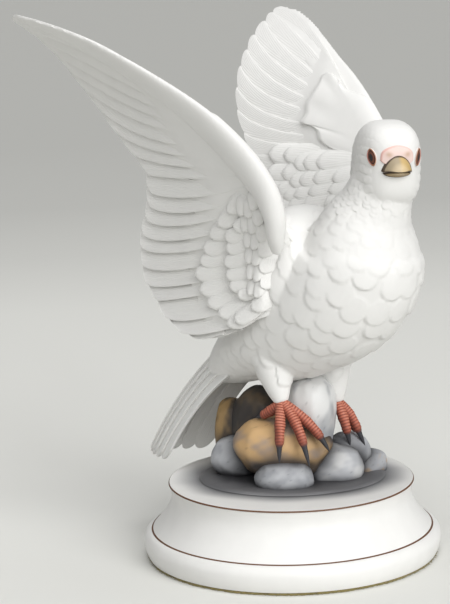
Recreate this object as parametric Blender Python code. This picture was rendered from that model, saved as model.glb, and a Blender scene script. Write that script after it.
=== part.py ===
"""White dove with raised wings, standing on river stones: a painted bisque figurine on its round base.

Metres, +Z up. The dove's body faces -Y and its left wing is at +X. The origin is the centre of the
underside, where the felt pad rests on the table. The figure, with its stones, is one cast piece.
"""
from bisect import bisect_right
from math import cos, pi, radians, sin

import bmesh
import bpy
from mathutils import Matrix, Vector

# Driving sizes in metres
FIGURE_HEIGHT = 0.2434          # from the bed of the stones to the wing tips
PLINTH_TOP_RADIUS = 0.0637      # flat top, out to the upper painted line
PLINTH_WAIST_RADIUS = 0.0622    # narrowest part of the hollow side
PLINTH_FLARE_RADIUS = 0.0728    # foot of the hollow side, at the lower painted line
PLINTH_BULGE_RADIUS = 0.0773    # fattest part of the lower moulding
PLINTH_FOOT_RADIUS = 0.0752     # where the lower moulding meets the felt
PLINTH_LIP = 0.0070             # height of the lip above the waist
PLINTH_FLARE = 0.0177           # height of the hollow side below the waist
PLINTH_MOULDING = 0.0133        # height of the lower moulding
PAD_THICKNESS = 0.0012          # felt under the plinth
PAD_INSET = 0.0006              # how far the felt stays inside the plinth's foot
REST_GAP = 0.0003               # air left between pieces that rest on each other
EDGE_ROUND = 0.0006             # rounding of the plinth's top edge
PLINTH_SIDES = 32

# The figure's forms are a sculptor's proportions: its height is cut into 243 parts, and each
# length below that is in parts is about a millimetre. Heights are above the bed of the stones,
# those of the slab above its own underside.
PARTS = 243.4
PART = FIGURE_HEIGHT / PARTS

# The bird and its stones are let into the slab and lean a little to the bird's left and back.
BEDDING = 2.5                   # in parts
LEAN = radians(1.66)
LEAN_AXIS = (0.788, 0.616, 0)
LEAN_SHIFT = (-0.41, 0.52, 0)   # in parts

PLINTH_HEIGHT = PLINTH_MOULDING + PLINTH_FLARE + PLINTH_LIP
PLINTH_FLOOR = PAD_THICKNESS + REST_GAP
FIGURE_FLOOR = PLINTH_FLOOR + PLINTH_HEIGHT + REST_GAP

# Body in parts, from rump to neck: y, z, half width, half depth of the section
BODY_STATIONS = (
    (48, 52, 8, 7),
    (36, 60, 15.5, 13.5),
    (20, 70.5, 23, 19.5),
    (2, 80.5, 29.5, 27),
    (-16, 92, 33.5, 31),
    (-32, 104, 34.5, 33),
    (-43, 118, 32.5, 32),
    (-46, 130, 28, 27.5),
    (-49, 141, 22.5, 22.5),
    (-53, 151, 17, 17.5),
    (-57.5, 163, 14, 15),
)
BODY_COLUMNS_PER_SCALE = 3
BODY_SCALES_PER_ROW = 11
BODY_SCALE_LIFT = 1.0           # how far a breast scale's free edge stands off the next row
NECK_SCALE_LIFT = 0.35
NECK_HALF_WIDTH = 16            # scales are smallest here and at their biggest on the breast
BREAST_HALF_WIDTH = 31
BREAST_ROW = 9.0                # spacing of the scale rows on the breast
NECK_ROW = 6.5
BODY_FIRST_ROW = 1.2            # station behind which the rump is plain

HEAD_CENTRE = (1.1, -57.8, 171)
HEAD_TURN = radians(37)         # towards the bird's right
HEAD_NOD = radians(8)
HEAD_RADII = (15.2, 19.0, 20.5)
CHEEK_SWELL = 0.09              # how much fuller the head is below its middle
FACE_NARROWING = 0.16           # how much slimmer the head gets towards the beak
BROW_SLOPE = 0.10               # how much lower it gets there
HEAD_BLOCK = 2.7                # 2 is a round head, more is squarer
HEAD_SIDES = 13
HEAD_RINGS = 8
BEAK_LENGTH = 11
BEAK_WIDTH = 15
BEAK_DEPTH = 11
BEAK_SUNK = 5                   # how deep the beak starts inside the head
BEAK_MIDDLE = 3.2              # height of the beak's root on the head
BEAK_HOOK = 2.0                 # how far its tip bends down
BEAK_BLUNT = 0.6                # half thickness at the very tip

# Wing in parts. Each line is given in side view, as (feather number, y, z), from the leading
# edge of the first primary, 0, to the bottom edge of the last secondary.
PRIMARIES = 9
SECONDARIES = 10
FEATHERS = PRIMARIES + SECONDARIES
WING_ROOT_LINE = ((0, 8, 195.5), (5, -4, 184), (9, -15, 166), (13, -21, 146), (16, -21, 122),
                  (19, -19, 98))
WING_MIDDLE_LINE = ((0, 50, 226), (2, 51, 211.5), (5, 50, 190), (9, 34, 161.5), (12, 34, 137),
                    (15, 36, 113.5), (17, 34, 100.5), (19, 24, 82))
WING_TIP_LINE = ((0, 88, 240.5), (2, 89, 233), (4, 86, 215.5), (6, 80, 195), (9, 57.5, 161.5),
                 (11, 60, 146), (13, 66, 131.5), (15, 69, 114), (17, 61, 96), (19, 44, 83))
WING_LEAN = ((60, 34.5), (112, 36), (152, 42), (177, 49.5), (202, 63.5), (227, 87), (243, 113))
WING_SWEEP_IN = 0.09            # how much the wing closes in towards its trailing edge
WING_SWEEP_FROM = 50            # where in y that closing in is nothing
FEATHER_TIP = 4.0               # how far a rounded tip reaches past the notches beside it
TIP_START = 0.85                # share of its length where a feather's tip starts to round
FEATHER_STEP = 1.1              # how far one feather's edge stands off the next feather
WING_TUCK = 9                   # how far the lower wing's root folds in over the back
WING_THICKNESS_ROOT = 5.0
WING_THICKNESS_TIP = 2.0
GREATER_COVERT_EDGE = 0.42      # share of the feather's length that the covert rows cover
LESSER_COVERT_EDGE = 0.22
COVERT_STEP = 0.015             # share of the length over which a covert row's edge drops
COVERT_DIP = 0.035              # how far a covert's rounded end reaches past its corners
COVERT_LIFT = 1.0

# Arm in parts, in side view: y, z, how far it tucks in, half thickness across the wing, half width
ARM_STATIONS = (
    (-24.5, 127.5, 1, 2.2, 2.6),
    (-25.8, 135.7, 0, 4.6, 4.8),
    (-26.5, 147, 0, 5.6, 6.2),
    (-21.3, 161, 0, 5.8, 8.4),
    (-9, 176, 0, 5.5, 9.8),
    (9, 192.7, 0, 4.8, 9.4),
    (31, 209, 0, 4.2, 7.8),
    (54, 224.1, 0, 3.4, 6.5),
    (74, 234.1, 0, 2.6, 5.0),
    (88, 239.8, 0, 1.5, 2.6),
)

# Shoulder in parts: the muscle that joins the wing's inner side to the back
SHOULDER_MIDDLE = (22, -8, 122)
SHOULDER_RADII = (14, 20, 22)
MANTLE_MIDDLE = (0, -8, 119.7)  # the full upper back that fills the place between the wings
MANTLE_RADII = (31, 26, 26)

# Tail in parts
TAIL_FEATHERS = 10
TAIL_ROOT = (0, 40, 71)         # top of the tail's ridge, where it leaves the rump
TAIL_LENGTH = 84
TAIL_SLOPE = radians(-50.6)
TAIL_BOW = 4                    # how far the ridge bows up between its ends
TAIL_ROOT_WIDTH = 27
TAIL_TIP_WIDTH = 37
TAIL_ARCH = 19                  # how far the folded sides hang below the ridge
TAIL_STAGGER = 0.19             # share of the length by which the outer feathers stop short
TAIL_TIP_ROUND = 0.035
TAIL_THICKNESS = 3.6

# Legs and feet in parts: thigh and ankle, the middle and the tip of each front toe, the hind toe
FEET = (
    {"thigh": (-18, -1, 70), "ankle": (-20, -10, 47),
     "toes": (((-24.7, -12.3, 34), (-27.8, -14.8, 18)), ((-19.9, -20, 35.5), (-20.1, -27.9, 16.7)),
              ((-13.5, -23.3, 36), (-9.1, -32.2, 23))),
     "hind": ((-21, -2.3, 41), (-21, 5.7, 37))},
    {"thigh": (16, -14, 66), "ankle": (16, -18, 42),
     "toes": (((14.5, -24, 33), (15.9, -27, 20)), ((20, -24.5, 34), (25, -30, 18)),
              ((26, -19, 31), (33, -22, 19))),
     "hind": ((17, -10, 36), (18, -3, 30))},
)
TOE_RADIUS = 2.7
THIGH_RADIUS = 9.5
ANKLE_RADIUS = 4.2

# Ground slab and stones in parts. A stone is x, y, z of its middle, half sizes, turn in degrees.
SLAB_MIDDLE = (2, 1)
SLAB_HALF_LENGTH = 49
SLAB_HALF_WIDTH = 40
SLAB_TURN = radians(-52)
SLAB_THICKNESS = 1.8
SLAB_BEVEL = 4                  # width of its soft edge
CUT_HEIGHT = 0.6                # the stones are cut off flat here, inside the slab
STONES = (
    (1, -12, 37.4, 13.5, 13, 22, 0),
    (-10, -3, 21.4, 24, 16, 17, -52),
    (-11, 26.5, 11.4, 13, 12.5, 11.5, 10),
    (-17.5, -8.5, 7.4, 16, 12.5, 10.5, -52),
    (12, -20, 8.9, 14.5, 13, 11, -40),
    (33, -25, 6.4, 11, 10, 8.5, 0),
    (-3, 35, 19.4, 12, 10, 21, 25),
    (0, 20, 25.4, 15, 14, 23, 0),
    (22, -20, 13.4, 13, 11, 12, -20),
    (24, 4, 11.4, 15, 14, 13, 30),
    (20, 26, 8.4, 16, 12, 10, -30),
)
STONE_SIDES = 9
STONE_RINGS = 6
STONE_SQUARENESS = 0.16         # 0 is an ellipsoid, 1 a block
STONE_LUMPS = 0.045

FLAT_ANGLE = radians(7)         # faces that meet at less than this are joined to one
SHARP_ANGLE = radians(38)


def clear_scene():
    for old in list(bpy.data.objects):
        bpy.data.objects.remove(old, do_unlink=True)


def in_figure(x, y, z):
    """A place given in parts, as metres in the part's frame."""
    return Vector((x * PART, y * PART, FIGURE_FLOOR + z * PART))


def leaned(piece):
    """Sinks a piece of the bird or the stones into its bed and tips it."""
    pivot = Matrix.Translation(in_figure(0, 0, 0))
    shift = Matrix.Translation(Vector(LEAN_SHIFT) * PART - Vector((0, 0, BEDDING * PART)))
    tip = Matrix.Rotation(LEAN, 4, Vector(LEAN_AXIS))
    piece.data.transform(shift @ pivot @ tip @ pivot.inverted())
    return piece


def between(low, high, share):
    return low + (high - low) * share


def along(stations, key):
    """Values read from a smooth curve through stations, each a key followed by its values."""
    keys = [station[0] for station in stations]
    last = len(keys) - 1
    low = min(max(bisect_right(keys, key) - 1, 0), last - 1)
    step = keys[low + 1] - keys[low]
    share = (key - keys[low]) / step
    values = []
    for column in range(1, len(stations[0])):

        def slope(at):
            before, after = max(at - 1, 0), min(at + 1, last)
            rise = stations[after][column] - stations[before][column]
            return rise / (keys[after] - keys[before])

        first, second = stations[low][column], stations[low + 1][column]
        square, cube = share * share, share ** 3
        values.append(
            first * (2 * cube - 3 * square + 1)
            + second * (3 * square - 2 * cube)
            + slope(low) * step * (cube - 2 * square + share)
            + slope(low + 1) * step * (cube - square)
        )
    return values


def numbered(rows):
    return tuple((index,) + tuple(row) for index, row in enumerate(rows))


def material(name, colour, roughness):
    made = bpy.data.materials.new(name)
    made.use_nodes = True
    shader = made.node_tree.nodes["Principled BSDF"]
    shader.inputs["Base Color"].default_value = colour + (1.0,)
    shader.inputs["Roughness"].default_value = roughness
    shader.inputs["Metallic"].default_value = 0.0
    return made


def new_object(name, work):
    """Turns a finished bmesh into an object with its faces pointing out."""
    bmesh.ops.triangulate(work, faces=work.faces)
    bmesh.ops.recalc_face_normals(work, faces=work.faces)
    mesh = bpy.data.meshes.new(name)
    work.to_mesh(mesh)
    work.free()
    made = bpy.data.objects.new(name, mesh)
    bpy.context.collection.objects.link(made)
    return made


def skin(name, rings):
    """One closed body from rings of equal count, with a flat cap on the first and the last."""
    work = bmesh.new()
    verts = [[work.verts.new(point) for point in ring] for ring in rings]
    count = len(rings[0])
    for lower, upper in zip(verts, verts[1:]):
        for index in range(count):
            after = (index + 1) % count
            work.faces.new((lower[index], lower[after], upper[after], upper[index]))
    work.faces.new(verts[0])
    work.faces.new(verts[-1])
    return new_object(name, work)


def volume(mesh):
    work = bmesh.new()
    work.from_mesh(mesh)
    cubic_metres = work.calc_volume()
    work.free()
    return cubic_metres


def united(base, piece, solver):
    """The mesh of two bodies joined into one."""
    union = base.modifiers.new("union", "BOOLEAN")
    union.operation = "UNION"
    union.solver = solver
    union.object = piece
    graph = bpy.context.evaluated_depsgraph_get()
    graph.update()
    mesh = bpy.data.meshes.new_from_object(base.evaluated_get(graph))
    base.modifiers.clear()
    return mesh


def fused(name, pieces):
    """One body from overlapping closed bodies. No union may end up smaller than what it began with."""
    base = pieces[0]
    for piece in pieces[1:]:
        least = volume(base.data)
        mesh = united(base, piece, "EXACT")
        if volume(mesh) < least:
            mesh = united(base, piece, "MANIFOLD")
        base.data = mesh
        bpy.data.objects.remove(piece, do_unlink=True)
    base.name = name
    base.data.name = name
    return merged_flats(base)


def merged_flats(piece):
    """Joins faces that lie in one plane, which the unions had cut up."""
    work = bmesh.new()
    work.from_mesh(piece.data)
    bmesh.ops.dissolve_limit(
        work, angle_limit=FLAT_ANGLE, use_dissolve_boundaries=False,
        verts=work.verts, edges=work.edges, delimit=set(),
    )
    bmesh.ops.triangulate(work, faces=work.faces)
    work.to_mesh(piece.data)
    work.free()
    return shaded(piece)


def shaded(piece):
    """Shades round forms smooth and keeps the carved edges sharp."""
    piece.data.shade_smooth()
    piece.data.set_sharp_from_angle(angle=SHARP_ANGLE)
    return piece


# Body


BODY_KEYS = numbered(BODY_STATIONS)
BODY_LAST = len(BODY_STATIONS) - 1


def body_frame(key):
    """Middle of the body's section at a key, its upright axis, and its half width and depth."""
    y, z, half_width, half_depth = along(BODY_KEYS, key)
    before = along(BODY_KEYS, max(key - 0.05, 0))
    after = along(BODY_KEYS, min(key + 0.05, BODY_LAST))
    forward = Vector((0, after[0] - before[0], after[1] - before[1])).normalized()
    upright = forward.cross(Vector((1, 0, 0))).normalized()
    return y, z, upright, half_width, half_depth


def body_point(key, angle, lift):
    """A point on the body's skin. Angle 0 is the middle of the back."""
    key = min(max(key, 0), BODY_LAST)
    y, z, upright, half_width, half_depth = body_frame(key)
    across = sin(angle) * (half_width + lift)
    up = cos(angle) * (half_depth + lift)
    return in_figure(across, y + upright.y * up, z + upright.z * up)


def body_rows():
    """Keys of the scale rows from the neck down, with each row's spacing and lift."""
    rows = []
    key = BODY_LAST - 0.1
    while key > BODY_FIRST_ROW:
        before = along(BODY_KEYS, key)
        after = along(BODY_KEYS, key - 0.1)
        speed = ((before[0] - after[0]) ** 2 + (before[1] - after[1]) ** 2) ** 0.5 / 0.1
        size = (before[2] - NECK_HALF_WIDTH) / (BREAST_HALF_WIDTH - NECK_HALF_WIDTH)
        size = min(max(size, 0), 1)
        step = between(NECK_ROW, BREAST_ROW, size) / speed
        rows.append((key, step, between(NECK_SCALE_LIFT, BODY_SCALE_LIFT, size)))
        key -= step
    return rows


def scallop(column, shift):
    """How far a row's edge dips at a column, from 0.45 between two scales to 1 at a scale's tip."""
    place = ((column + shift) % BODY_COLUMNS_PER_SCALE) / BODY_COLUMNS_PER_SCALE
    return 0.45 + 0.55 * sin(pi * place)


def body():
    columns = BODY_COLUMNS_PER_SCALE * BODY_SCALES_PER_ROW
    angles = [2 * pi * column / columns for column in range(columns)]
    rings = [[body_point(BODY_LAST, angle, 0) for angle in angles]]
    for row, (key, step, lift) in enumerate(body_rows()):
        shift = (row % 2) * BODY_COLUMNS_PER_SCALE / 2
        for beyond, stand in ((0.0, lift), (0.10, 0.0)):
            rings.append([
                body_point(key - step * (scallop(column, shift) + beyond), angle, stand)
                for column, angle in enumerate(angles)
            ])
    rings.append([body_point(0.3, angle, 0) for angle in angles])
    rings.append([body_point(0.0, angle, 0) for angle in angles])
    return skin("body", rings)


def head_place():
    """Turns the head's own frame, facing -Y, to its place on the neck."""
    turn = Matrix.Rotation(-HEAD_TURN, 4, "Z") @ Matrix.Rotation(HEAD_NOD, 4, "X")
    return Matrix.Translation(in_figure(*HEAD_CENTRE)) @ turn @ Matrix.Scale(PART, 4)


def head():
    work = bmesh.new()
    bmesh.ops.create_uvsphere(work, u_segments=HEAD_SIDES, v_segments=HEAD_RINGS, radius=1)
    half_width, half_length, half_height = HEAD_RADII
    for vert in work.verts:
        point = vert.co
        block = sum(abs(side) ** HEAD_BLOCK for side in point) ** (1 / HEAD_BLOCK)
        point = point / block
        front = max(-point.y, 0) ** 2
        cheek = 1 + CHEEK_SWELL * max(-point.z, 0)
        vert.co = Vector((
            point.x * half_width * (1 - FACE_NARROWING * front) * cheek,
            point.y * half_length * cheek,
            point.z * half_height * (1 - BROW_SLOPE * front),
        ))
    work.transform(head_place())
    return new_object("head", work)


def beak():
    """A short blunt beak with its tip bent down, in the head's frame."""
    sides = 8
    _, half_length, _ = HEAD_RADII
    rings = []
    for share in (0.0, 0.35, 0.6, 0.8, 0.93, 1.0):
        width = BEAK_WIDTH / 2 * (1 - share ** 1.6) + BEAK_BLUNT
        depth = BEAK_DEPTH / 2 * (1 - share ** 2.2) + BEAK_BLUNT
        forward = BEAK_SUNK - half_length - share * BEAK_LENGTH
        height = BEAK_MIDDLE - BEAK_HOOK * share ** 1.8
        rings.append([
            head_place() @ Vector((
                width * sin(2 * pi * side / sides),
                forward,
                height + depth * cos(2 * pi * side / sides),
            ))
            for side in range(sides)
        ])
    return skin("beak", rings)


# Wings


def wing_lean(y, z):
    """How far the wing's middle surface stands from the bird's middle plane."""
    out, = along(WING_LEAN, min(max(z, WING_LEAN[0][0]), WING_LEAN[-1][0]))
    return out - WING_SWEEP_IN * (y - WING_SWEEP_FROM)


def wing_point(feather, share, offset, side):
    """A point of the wing: feather counts from the leading edge, share runs from root to tip."""
    root = along(WING_ROOT_LINE, feather)
    middle = along(WING_MIDDLE_LINE, feather)
    tip = along(WING_TIP_LINE, feather)
    bow = [2 * m - (r + t) / 2 for r, m, t in zip(root, middle, tip)]
    y, z = (
        (1 - share) ** 2 * r + 2 * share * (1 - share) * b + share ** 2 * t
        for r, b, t in zip(root, bow, tip)
    )
    within = feather % 1.0
    if share > TIP_START:
        length = ((tip[0] - root[0]) ** 2 + (tip[1] - root[1]) ** 2) ** 0.5
        reach = FEATHER_TIP * sin(pi * within) * (share - TIP_START) / (1 - TIP_START)
        y += (tip[0] - root[0]) / length * reach
        z += (tip[1] - root[1]) / length * reach
    tuck = WING_TUCK * (1 - share) ** 3 * min(max((feather - 8) / 6, 0), 1)
    x = wing_lean(y, z) - tuck
    slope = (wing_lean(y, z + 1) - wing_lean(y, z - 1)) / 2
    out = Vector((1, WING_SWEEP_IN, -slope)).normalized()
    place = Vector((x, y, z)) + out * offset
    return in_figure(side * place.x, place.y, place.z)


def wing_rows(within):
    """Shares along a feather with the covert lift at each, scalloped across the feather."""
    dip = COVERT_DIP * sin(pi * within)
    return (
        (0.0, COVERT_LIFT),
        (LESSER_COVERT_EDGE + dip, COVERT_LIFT * 1.6),
        (LESSER_COVERT_EDGE + dip + COVERT_STEP, COVERT_LIFT * 0.5),
        (GREATER_COVERT_EDGE + dip, COVERT_LIFT),
        (GREATER_COVERT_EDGE + dip + COVERT_STEP, 0.0),
        (TIP_START, 0.0),
        (1.0, 0.0),
    )


def wing(side):
    columns = []
    for feather in range(FEATHERS):
        columns += [(feather + 0.04, -0.5), (feather + 0.5, 0.15), (feather + 0.98, 0.5)]
    outer, inner = [], []
    for feather, tilt in columns:
        outer_column, inner_column = [], []
        for share, lift in wing_rows(feather % 1.0):
            half = between(WING_THICKNESS_ROOT, WING_THICKNESS_TIP, share) / 2
            step = tilt * FEATHER_STEP
            outer_column.append(wing_point(feather, share, half + lift + step, side))
            inner_column.append(wing_point(feather, share, -half - lift + step, side))
        outer.append(outer_column)
        inner.append(inner_column)
    rings = [out + list(reversed(back)) for out, back in zip(outer, inner)]
    return skin("wing", rings)


def arm(side):
    """The thick rounded leading edge, from the shoulder to the wing tip."""
    sides = 7
    count = 10
    keys = numbered(ARM_STATIONS)
    last = len(ARM_STATIONS) - 1
    rings = []
    for index in range(count + 1):
        key = last * index / count
        y, z, tuck, thick, wide = along(keys, key)
        before = along(keys, max(key - 0.1, 0))
        after = along(keys, min(key + 0.1, last))
        forward = Vector((after[0] - before[0], after[1] - before[1])).normalized()
        ring = []
        for turn in range(sides):
            angle = 2 * pi * turn / sides
            in_plane = wide * sin(angle)
            place_y = y - forward.y * in_plane
            place_z = z + forward.x * in_plane
            place_x = wing_lean(place_y, place_z) - tuck + thick * cos(angle)
            ring.append(in_figure(side * place_x, place_y, place_z))
        rings.append(ring)
    return skin("arm", rings)


def swelling(name, middle, radii, side):
    """A rounded mass of flesh."""
    work = bmesh.new()
    bmesh.ops.create_uvsphere(work, u_segments=10, v_segments=7, radius=1)
    middle, radii = Vector(middle), Vector(radii)
    for vert in work.verts:
        place = middle + vert.co * radii
        vert.co = in_figure(side * place.x, place.y, place.z)
    return new_object(name, work)


# Tail


def tail_point(across, share, offset):
    """A point of the tail: across runs from -1 to 1, share from root to tip."""
    width = between(TAIL_ROOT_WIDTH, TAIL_TIP_WIDTH, share) / 2
    reach = TAIL_LENGTH * share * (1 - TAIL_STAGGER * across * across)
    x = across * width
    down = TAIL_ARCH * abs(across) ** 1.5 - offset - 4 * TAIL_BOW * share * (1 - share)
    y = TAIL_ROOT[1] + reach * cos(TAIL_SLOPE) + down * sin(TAIL_SLOPE)
    z = TAIL_ROOT[2] + reach * sin(TAIL_SLOPE) - down * cos(TAIL_SLOPE)
    return in_figure(TAIL_ROOT[0] + x, y, z)


def tail():
    rings = []
    for feather in range(TAIL_FEATHERS):
        left_half = feather < TAIL_FEATHERS / 2
        for within, tilt in ((0.06, -0.5), (0.5, 0.1), (0.96, 0.5)):
            across = -1 + 2 * (feather + within) / TAIL_FEATHERS
            step = FEATHER_STEP * (tilt if left_half else -tilt)
            shares = (0, 0.33, 0.66, 0.94, 1 + TAIL_TIP_ROUND * sin(pi * within))
            top = [tail_point(across, share, step) for share in shares]
            under = [tail_point(across, share, step - TAIL_THICKNESS) for share in shares]
            rings.append(top + list(reversed(under)))
    return skin("tail", rings)


# Legs and feet


def tube(name, places, radii, sides):
    """A round tapering tube through places given in parts."""
    points = [Vector(place) for place in places]
    rings = []
    for index, (point, radius) in enumerate(zip(points, radii)):
        before = points[max(index - 1, 0)]
        after = points[min(index + 1, len(points) - 1)]
        forward = (after - before).normalized()
        across = forward.cross(Vector((0.31, 0.11, 1.0))).normalized()
        upright = across.cross(forward)
        ring = []
        for turn in range(sides):
            angle = 2 * pi * turn / sides
            ring.append(in_figure(*(point + (across * cos(angle) + upright * sin(angle)) * radius)))
        rings.append(ring)
    return skin(name, rings)


def toe(ankle, middle, tip, radius):
    """A toe that bends at its middle joint and thins into a curved claw."""
    bend, end = Vector(middle), Vector(tip)
    start = Vector(ankle).lerp(bend, 0.1)
    curve = 2 * bend - (start + end) / 2
    places, radii = [], []
    for share, size in ((0.0, 1.0), (0.28, 1.05), (0.52, 1.0), (0.76, 0.8), (1.0, 0.15)):
        places.append(start * (1 - share) ** 2 + curve * 2 * share * (1 - share) + end * share ** 2)
        radii.append(radius * size)
    return tube("toe", places, radii, 6)


def leg(foot):
    thigh, ankle = Vector(foot["thigh"]), Vector(foot["ankle"])
    pieces = [tube(
        "thigh",
        [thigh, thigh.lerp(ankle, 0.4), thigh.lerp(ankle, 0.8), thigh.lerp(ankle, 1.0)],
        [THIGH_RADIUS, THIGH_RADIUS * 0.92, ANKLE_RADIUS * 1.35, ANKLE_RADIUS * 0.8],
        10,
    )]
    for middle, tip in foot["toes"] + (foot["hind"],):
        pieces.append(toe(ankle, middle, tip, TOE_RADIUS))
    return pieces


# Stones


def stone(number, x, y, z, half_x, half_y, half_z, turn):
    """A water-worn stone: a rounded block with gentle lumps, no two alike."""
    work = bmesh.new()
    bmesh.ops.create_uvsphere(work, u_segments=STONE_SIDES, v_segments=STONE_RINGS, radius=1)
    for vert in work.verts:
        point = vert.co
        longest = max(abs(point.x), abs(point.y), abs(point.z))
        block = point / longest
        shape = point.lerp(block, STONE_SQUARENESS)
        wave = sin(3.1 * point.x + 1.7 * number) * cos(2.7 * point.y + 2.3 * number)
        lump = 1 + STONE_LUMPS * (wave + 0.7 * sin(4.3 * point.z + 0.9 * number))
        vert.co = Vector((shape.x * half_x, shape.y * half_y, shape.z * half_z)) * lump
    place = Matrix.Translation(in_figure(x, y, z)) @ Matrix.Rotation(radians(turn), 4, "Z")
    work.transform(place @ Matrix.Scale(PART, 4))
    return new_object("stone", work)


def slab():
    """The thin oval ground that the stones are bedded in, with a soft edge."""
    sides = 26
    turn = Matrix.Rotation(SLAB_TURN, 3, "Z")
    rings = []
    for inset, height in ((0, 0.0), (0.4, SLAB_THICKNESS * 0.4), (SLAB_BEVEL, SLAB_THICKNESS)):
        ring = []
        for side in range(sides):
            angle = 2 * pi * side / sides
            along_x = (SLAB_HALF_LENGTH - inset) * cos(angle)
            along_y = (SLAB_HALF_WIDTH - inset) * sin(angle)
            spot = turn @ Vector((along_x, along_y, 0))
            ring.append(in_figure(SLAB_MIDDLE[0] + spot.x, SLAB_MIDDLE[1] + spot.y, height))
        rings.append(ring)
    return skin("slab", rings)


def trimmed(piece):
    """Cuts off what reaches under the slab."""
    work = bmesh.new()
    work.from_mesh(piece.data)
    cut = bmesh.ops.bisect_plane(
        work, geom=work.verts[:] + work.edges[:] + work.faces[:], dist=1e-7,
        plane_co=in_figure(0, 0, CUT_HEIGHT), plane_no=(0, 0, 1), clear_inner=True,
    )
    edges = [item for item in cut["geom_cut"] if isinstance(item, bmesh.types.BMEdge)]
    if edges:
        bmesh.ops.contextual_create(work, geom=edges)
    bmesh.ops.triangulate(work, faces=work.faces)
    bmesh.ops.recalc_face_normals(work, faces=work.faces)
    work.to_mesh(piece.data)
    work.free()
    return piece


def figure():
    pieces = [body(), head(), beak(), swelling("mantle", MANTLE_MIDDLE, MANTLE_RADII, 1)]
    for side in (-1, 1):
        pieces += [swelling("shoulder", SHOULDER_MIDDLE, SHOULDER_RADII, side), wing(side), arm(side)]
    pieces.append(tail())
    for foot in FEET:
        pieces += leg(foot)
    pieces = [leaned(piece) for piece in pieces]
    pieces.append(slab())
    for number, numbers in enumerate(STONES):
        pieces.append(trimmed(leaned(stone(number, *numbers))))
    whole = fused("dove_on_rocks", pieces)
    whole.data.materials.clear()
    whole.data.materials.append(material("white_bisque", (0.86, 0.86, 0.83), 0.62))
    return whole


# Plinth and pad


def plinth_profile():
    """Radius and height down the turned plinth, from the edge of its flat top to its foot."""
    waist = PLINTH_MOULDING + PLINTH_FLARE
    lip = PLINTH_TOP_RADIUS - PLINTH_WAIST_RADIUS
    flare = PLINTH_FLARE_RADIUS - PLINTH_WAIST_RADIUS
    profile = [
        (PLINTH_TOP_RADIUS - EDGE_ROUND, PLINTH_HEIGHT),
        (PLINTH_TOP_RADIUS, PLINTH_HEIGHT - EDGE_ROUND),
    ]
    for share in (0.35, 0.0):
        profile.append((PLINTH_WAIST_RADIUS + lip * share ** 2, waist + PLINTH_LIP * share))
    for share in (0.25, 0.5, 0.75, 1.0):
        profile.append((PLINTH_WAIST_RADIUS + flare * share ** 1.7, waist - PLINTH_FLARE * share))
    widest = PLINTH_MOULDING * 0.58
    for share in (0.4, 0.75, 1.0):
        swell = (1 - (1 - share) ** 2) ** 0.5
        profile.append((between(PLINTH_FLARE_RADIUS, PLINTH_BULGE_RADIUS, swell),
                        between(PLINTH_MOULDING, widest, share)))
    for share in (0.5, 1.0):
        profile.append((between(PLINTH_BULGE_RADIUS, PLINTH_FOOT_RADIUS, share ** 2),
                        between(widest, 0.0, share)))
    return profile


def turned(name, profile, sides):
    rings = []
    for radius, height in profile:
        rings.append([
            Vector((radius * cos(2 * pi * side / sides), radius * sin(2 * pi * side / sides), height))
            for side in range(sides)
        ])
    return skin(name, rings)


def plinth():
    made = shaded(turned("plinth", plinth_profile(), PLINTH_SIDES))
    made.location.z = PLINTH_FLOOR
    made.data.materials.append(material("white_bisque_plinth", (0.88, 0.88, 0.86), 0.55))
    return made


def felt_pad():
    radius = PLINTH_FOOT_RADIUS - PAD_INSET
    made = shaded(turned("felt_pad", [(radius, PAD_THICKNESS), (radius, 0.0)], PLINTH_SIDES))
    made.data.materials.append(material("olive_felt", (0.22, 0.19, 0.09), 0.95))
    return made


def main():
    clear_scene()
    figure()
    plinth()
    felt_pad()


main()
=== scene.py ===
"""Looks of the bisque dove: feathers, painted face, feet and stones, the plinth's lines and the felt's edge.

Lengths are in millimetres until a mesh is made. Y and Z are used as the side view's axes: the bird faces -Y,
its left side is +X, and Z is the height above the table.
"""
from functools import lru_cache
from math import cos, pi, radians, sin

import bmesh
import bpy
import numpy as np
from mathutils import Matrix, Vector, kdtree

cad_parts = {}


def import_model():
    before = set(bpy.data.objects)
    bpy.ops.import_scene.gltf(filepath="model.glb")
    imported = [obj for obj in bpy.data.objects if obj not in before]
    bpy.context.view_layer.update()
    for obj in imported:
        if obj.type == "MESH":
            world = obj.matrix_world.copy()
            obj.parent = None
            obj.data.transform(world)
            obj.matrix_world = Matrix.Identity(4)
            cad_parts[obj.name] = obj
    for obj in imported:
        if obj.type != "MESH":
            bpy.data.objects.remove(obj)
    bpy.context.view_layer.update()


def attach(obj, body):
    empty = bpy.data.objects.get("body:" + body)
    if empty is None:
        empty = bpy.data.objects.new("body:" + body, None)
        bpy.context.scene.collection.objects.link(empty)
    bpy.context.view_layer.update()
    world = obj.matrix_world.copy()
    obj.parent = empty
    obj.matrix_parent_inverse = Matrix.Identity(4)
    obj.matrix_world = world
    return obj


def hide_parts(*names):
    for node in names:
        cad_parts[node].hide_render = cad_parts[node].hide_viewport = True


MM = 0.001
BED = 38.3                      # height of the bed that the bird's and the stones' numbers count from

# The bird and its stones lean a little to the bird's left and forward
LEAN = radians(1.66)
LEAN_AXIS = (0.788, 0.616, 0)
LEAN_SHIFT = (-0.41, 0.52, -1.0)

# Camera
PHOTO_FOCUS = 2116.0            # focal length in photo pixels
PHOTO_LONG_SIDE = 604
CAMERA_BEARING = radians(38)    # the camera stands on the bird's right, this far forward of its side
CAMERA_DISTANCE = 1.065
CAMERA_HEIGHT = 0.3304
CAMERA_PAN = -0.0296
CAMERA_TILT = 0.1833
CAMERA_ROLL = -0.0302
SENSOR = 36.0

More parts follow.
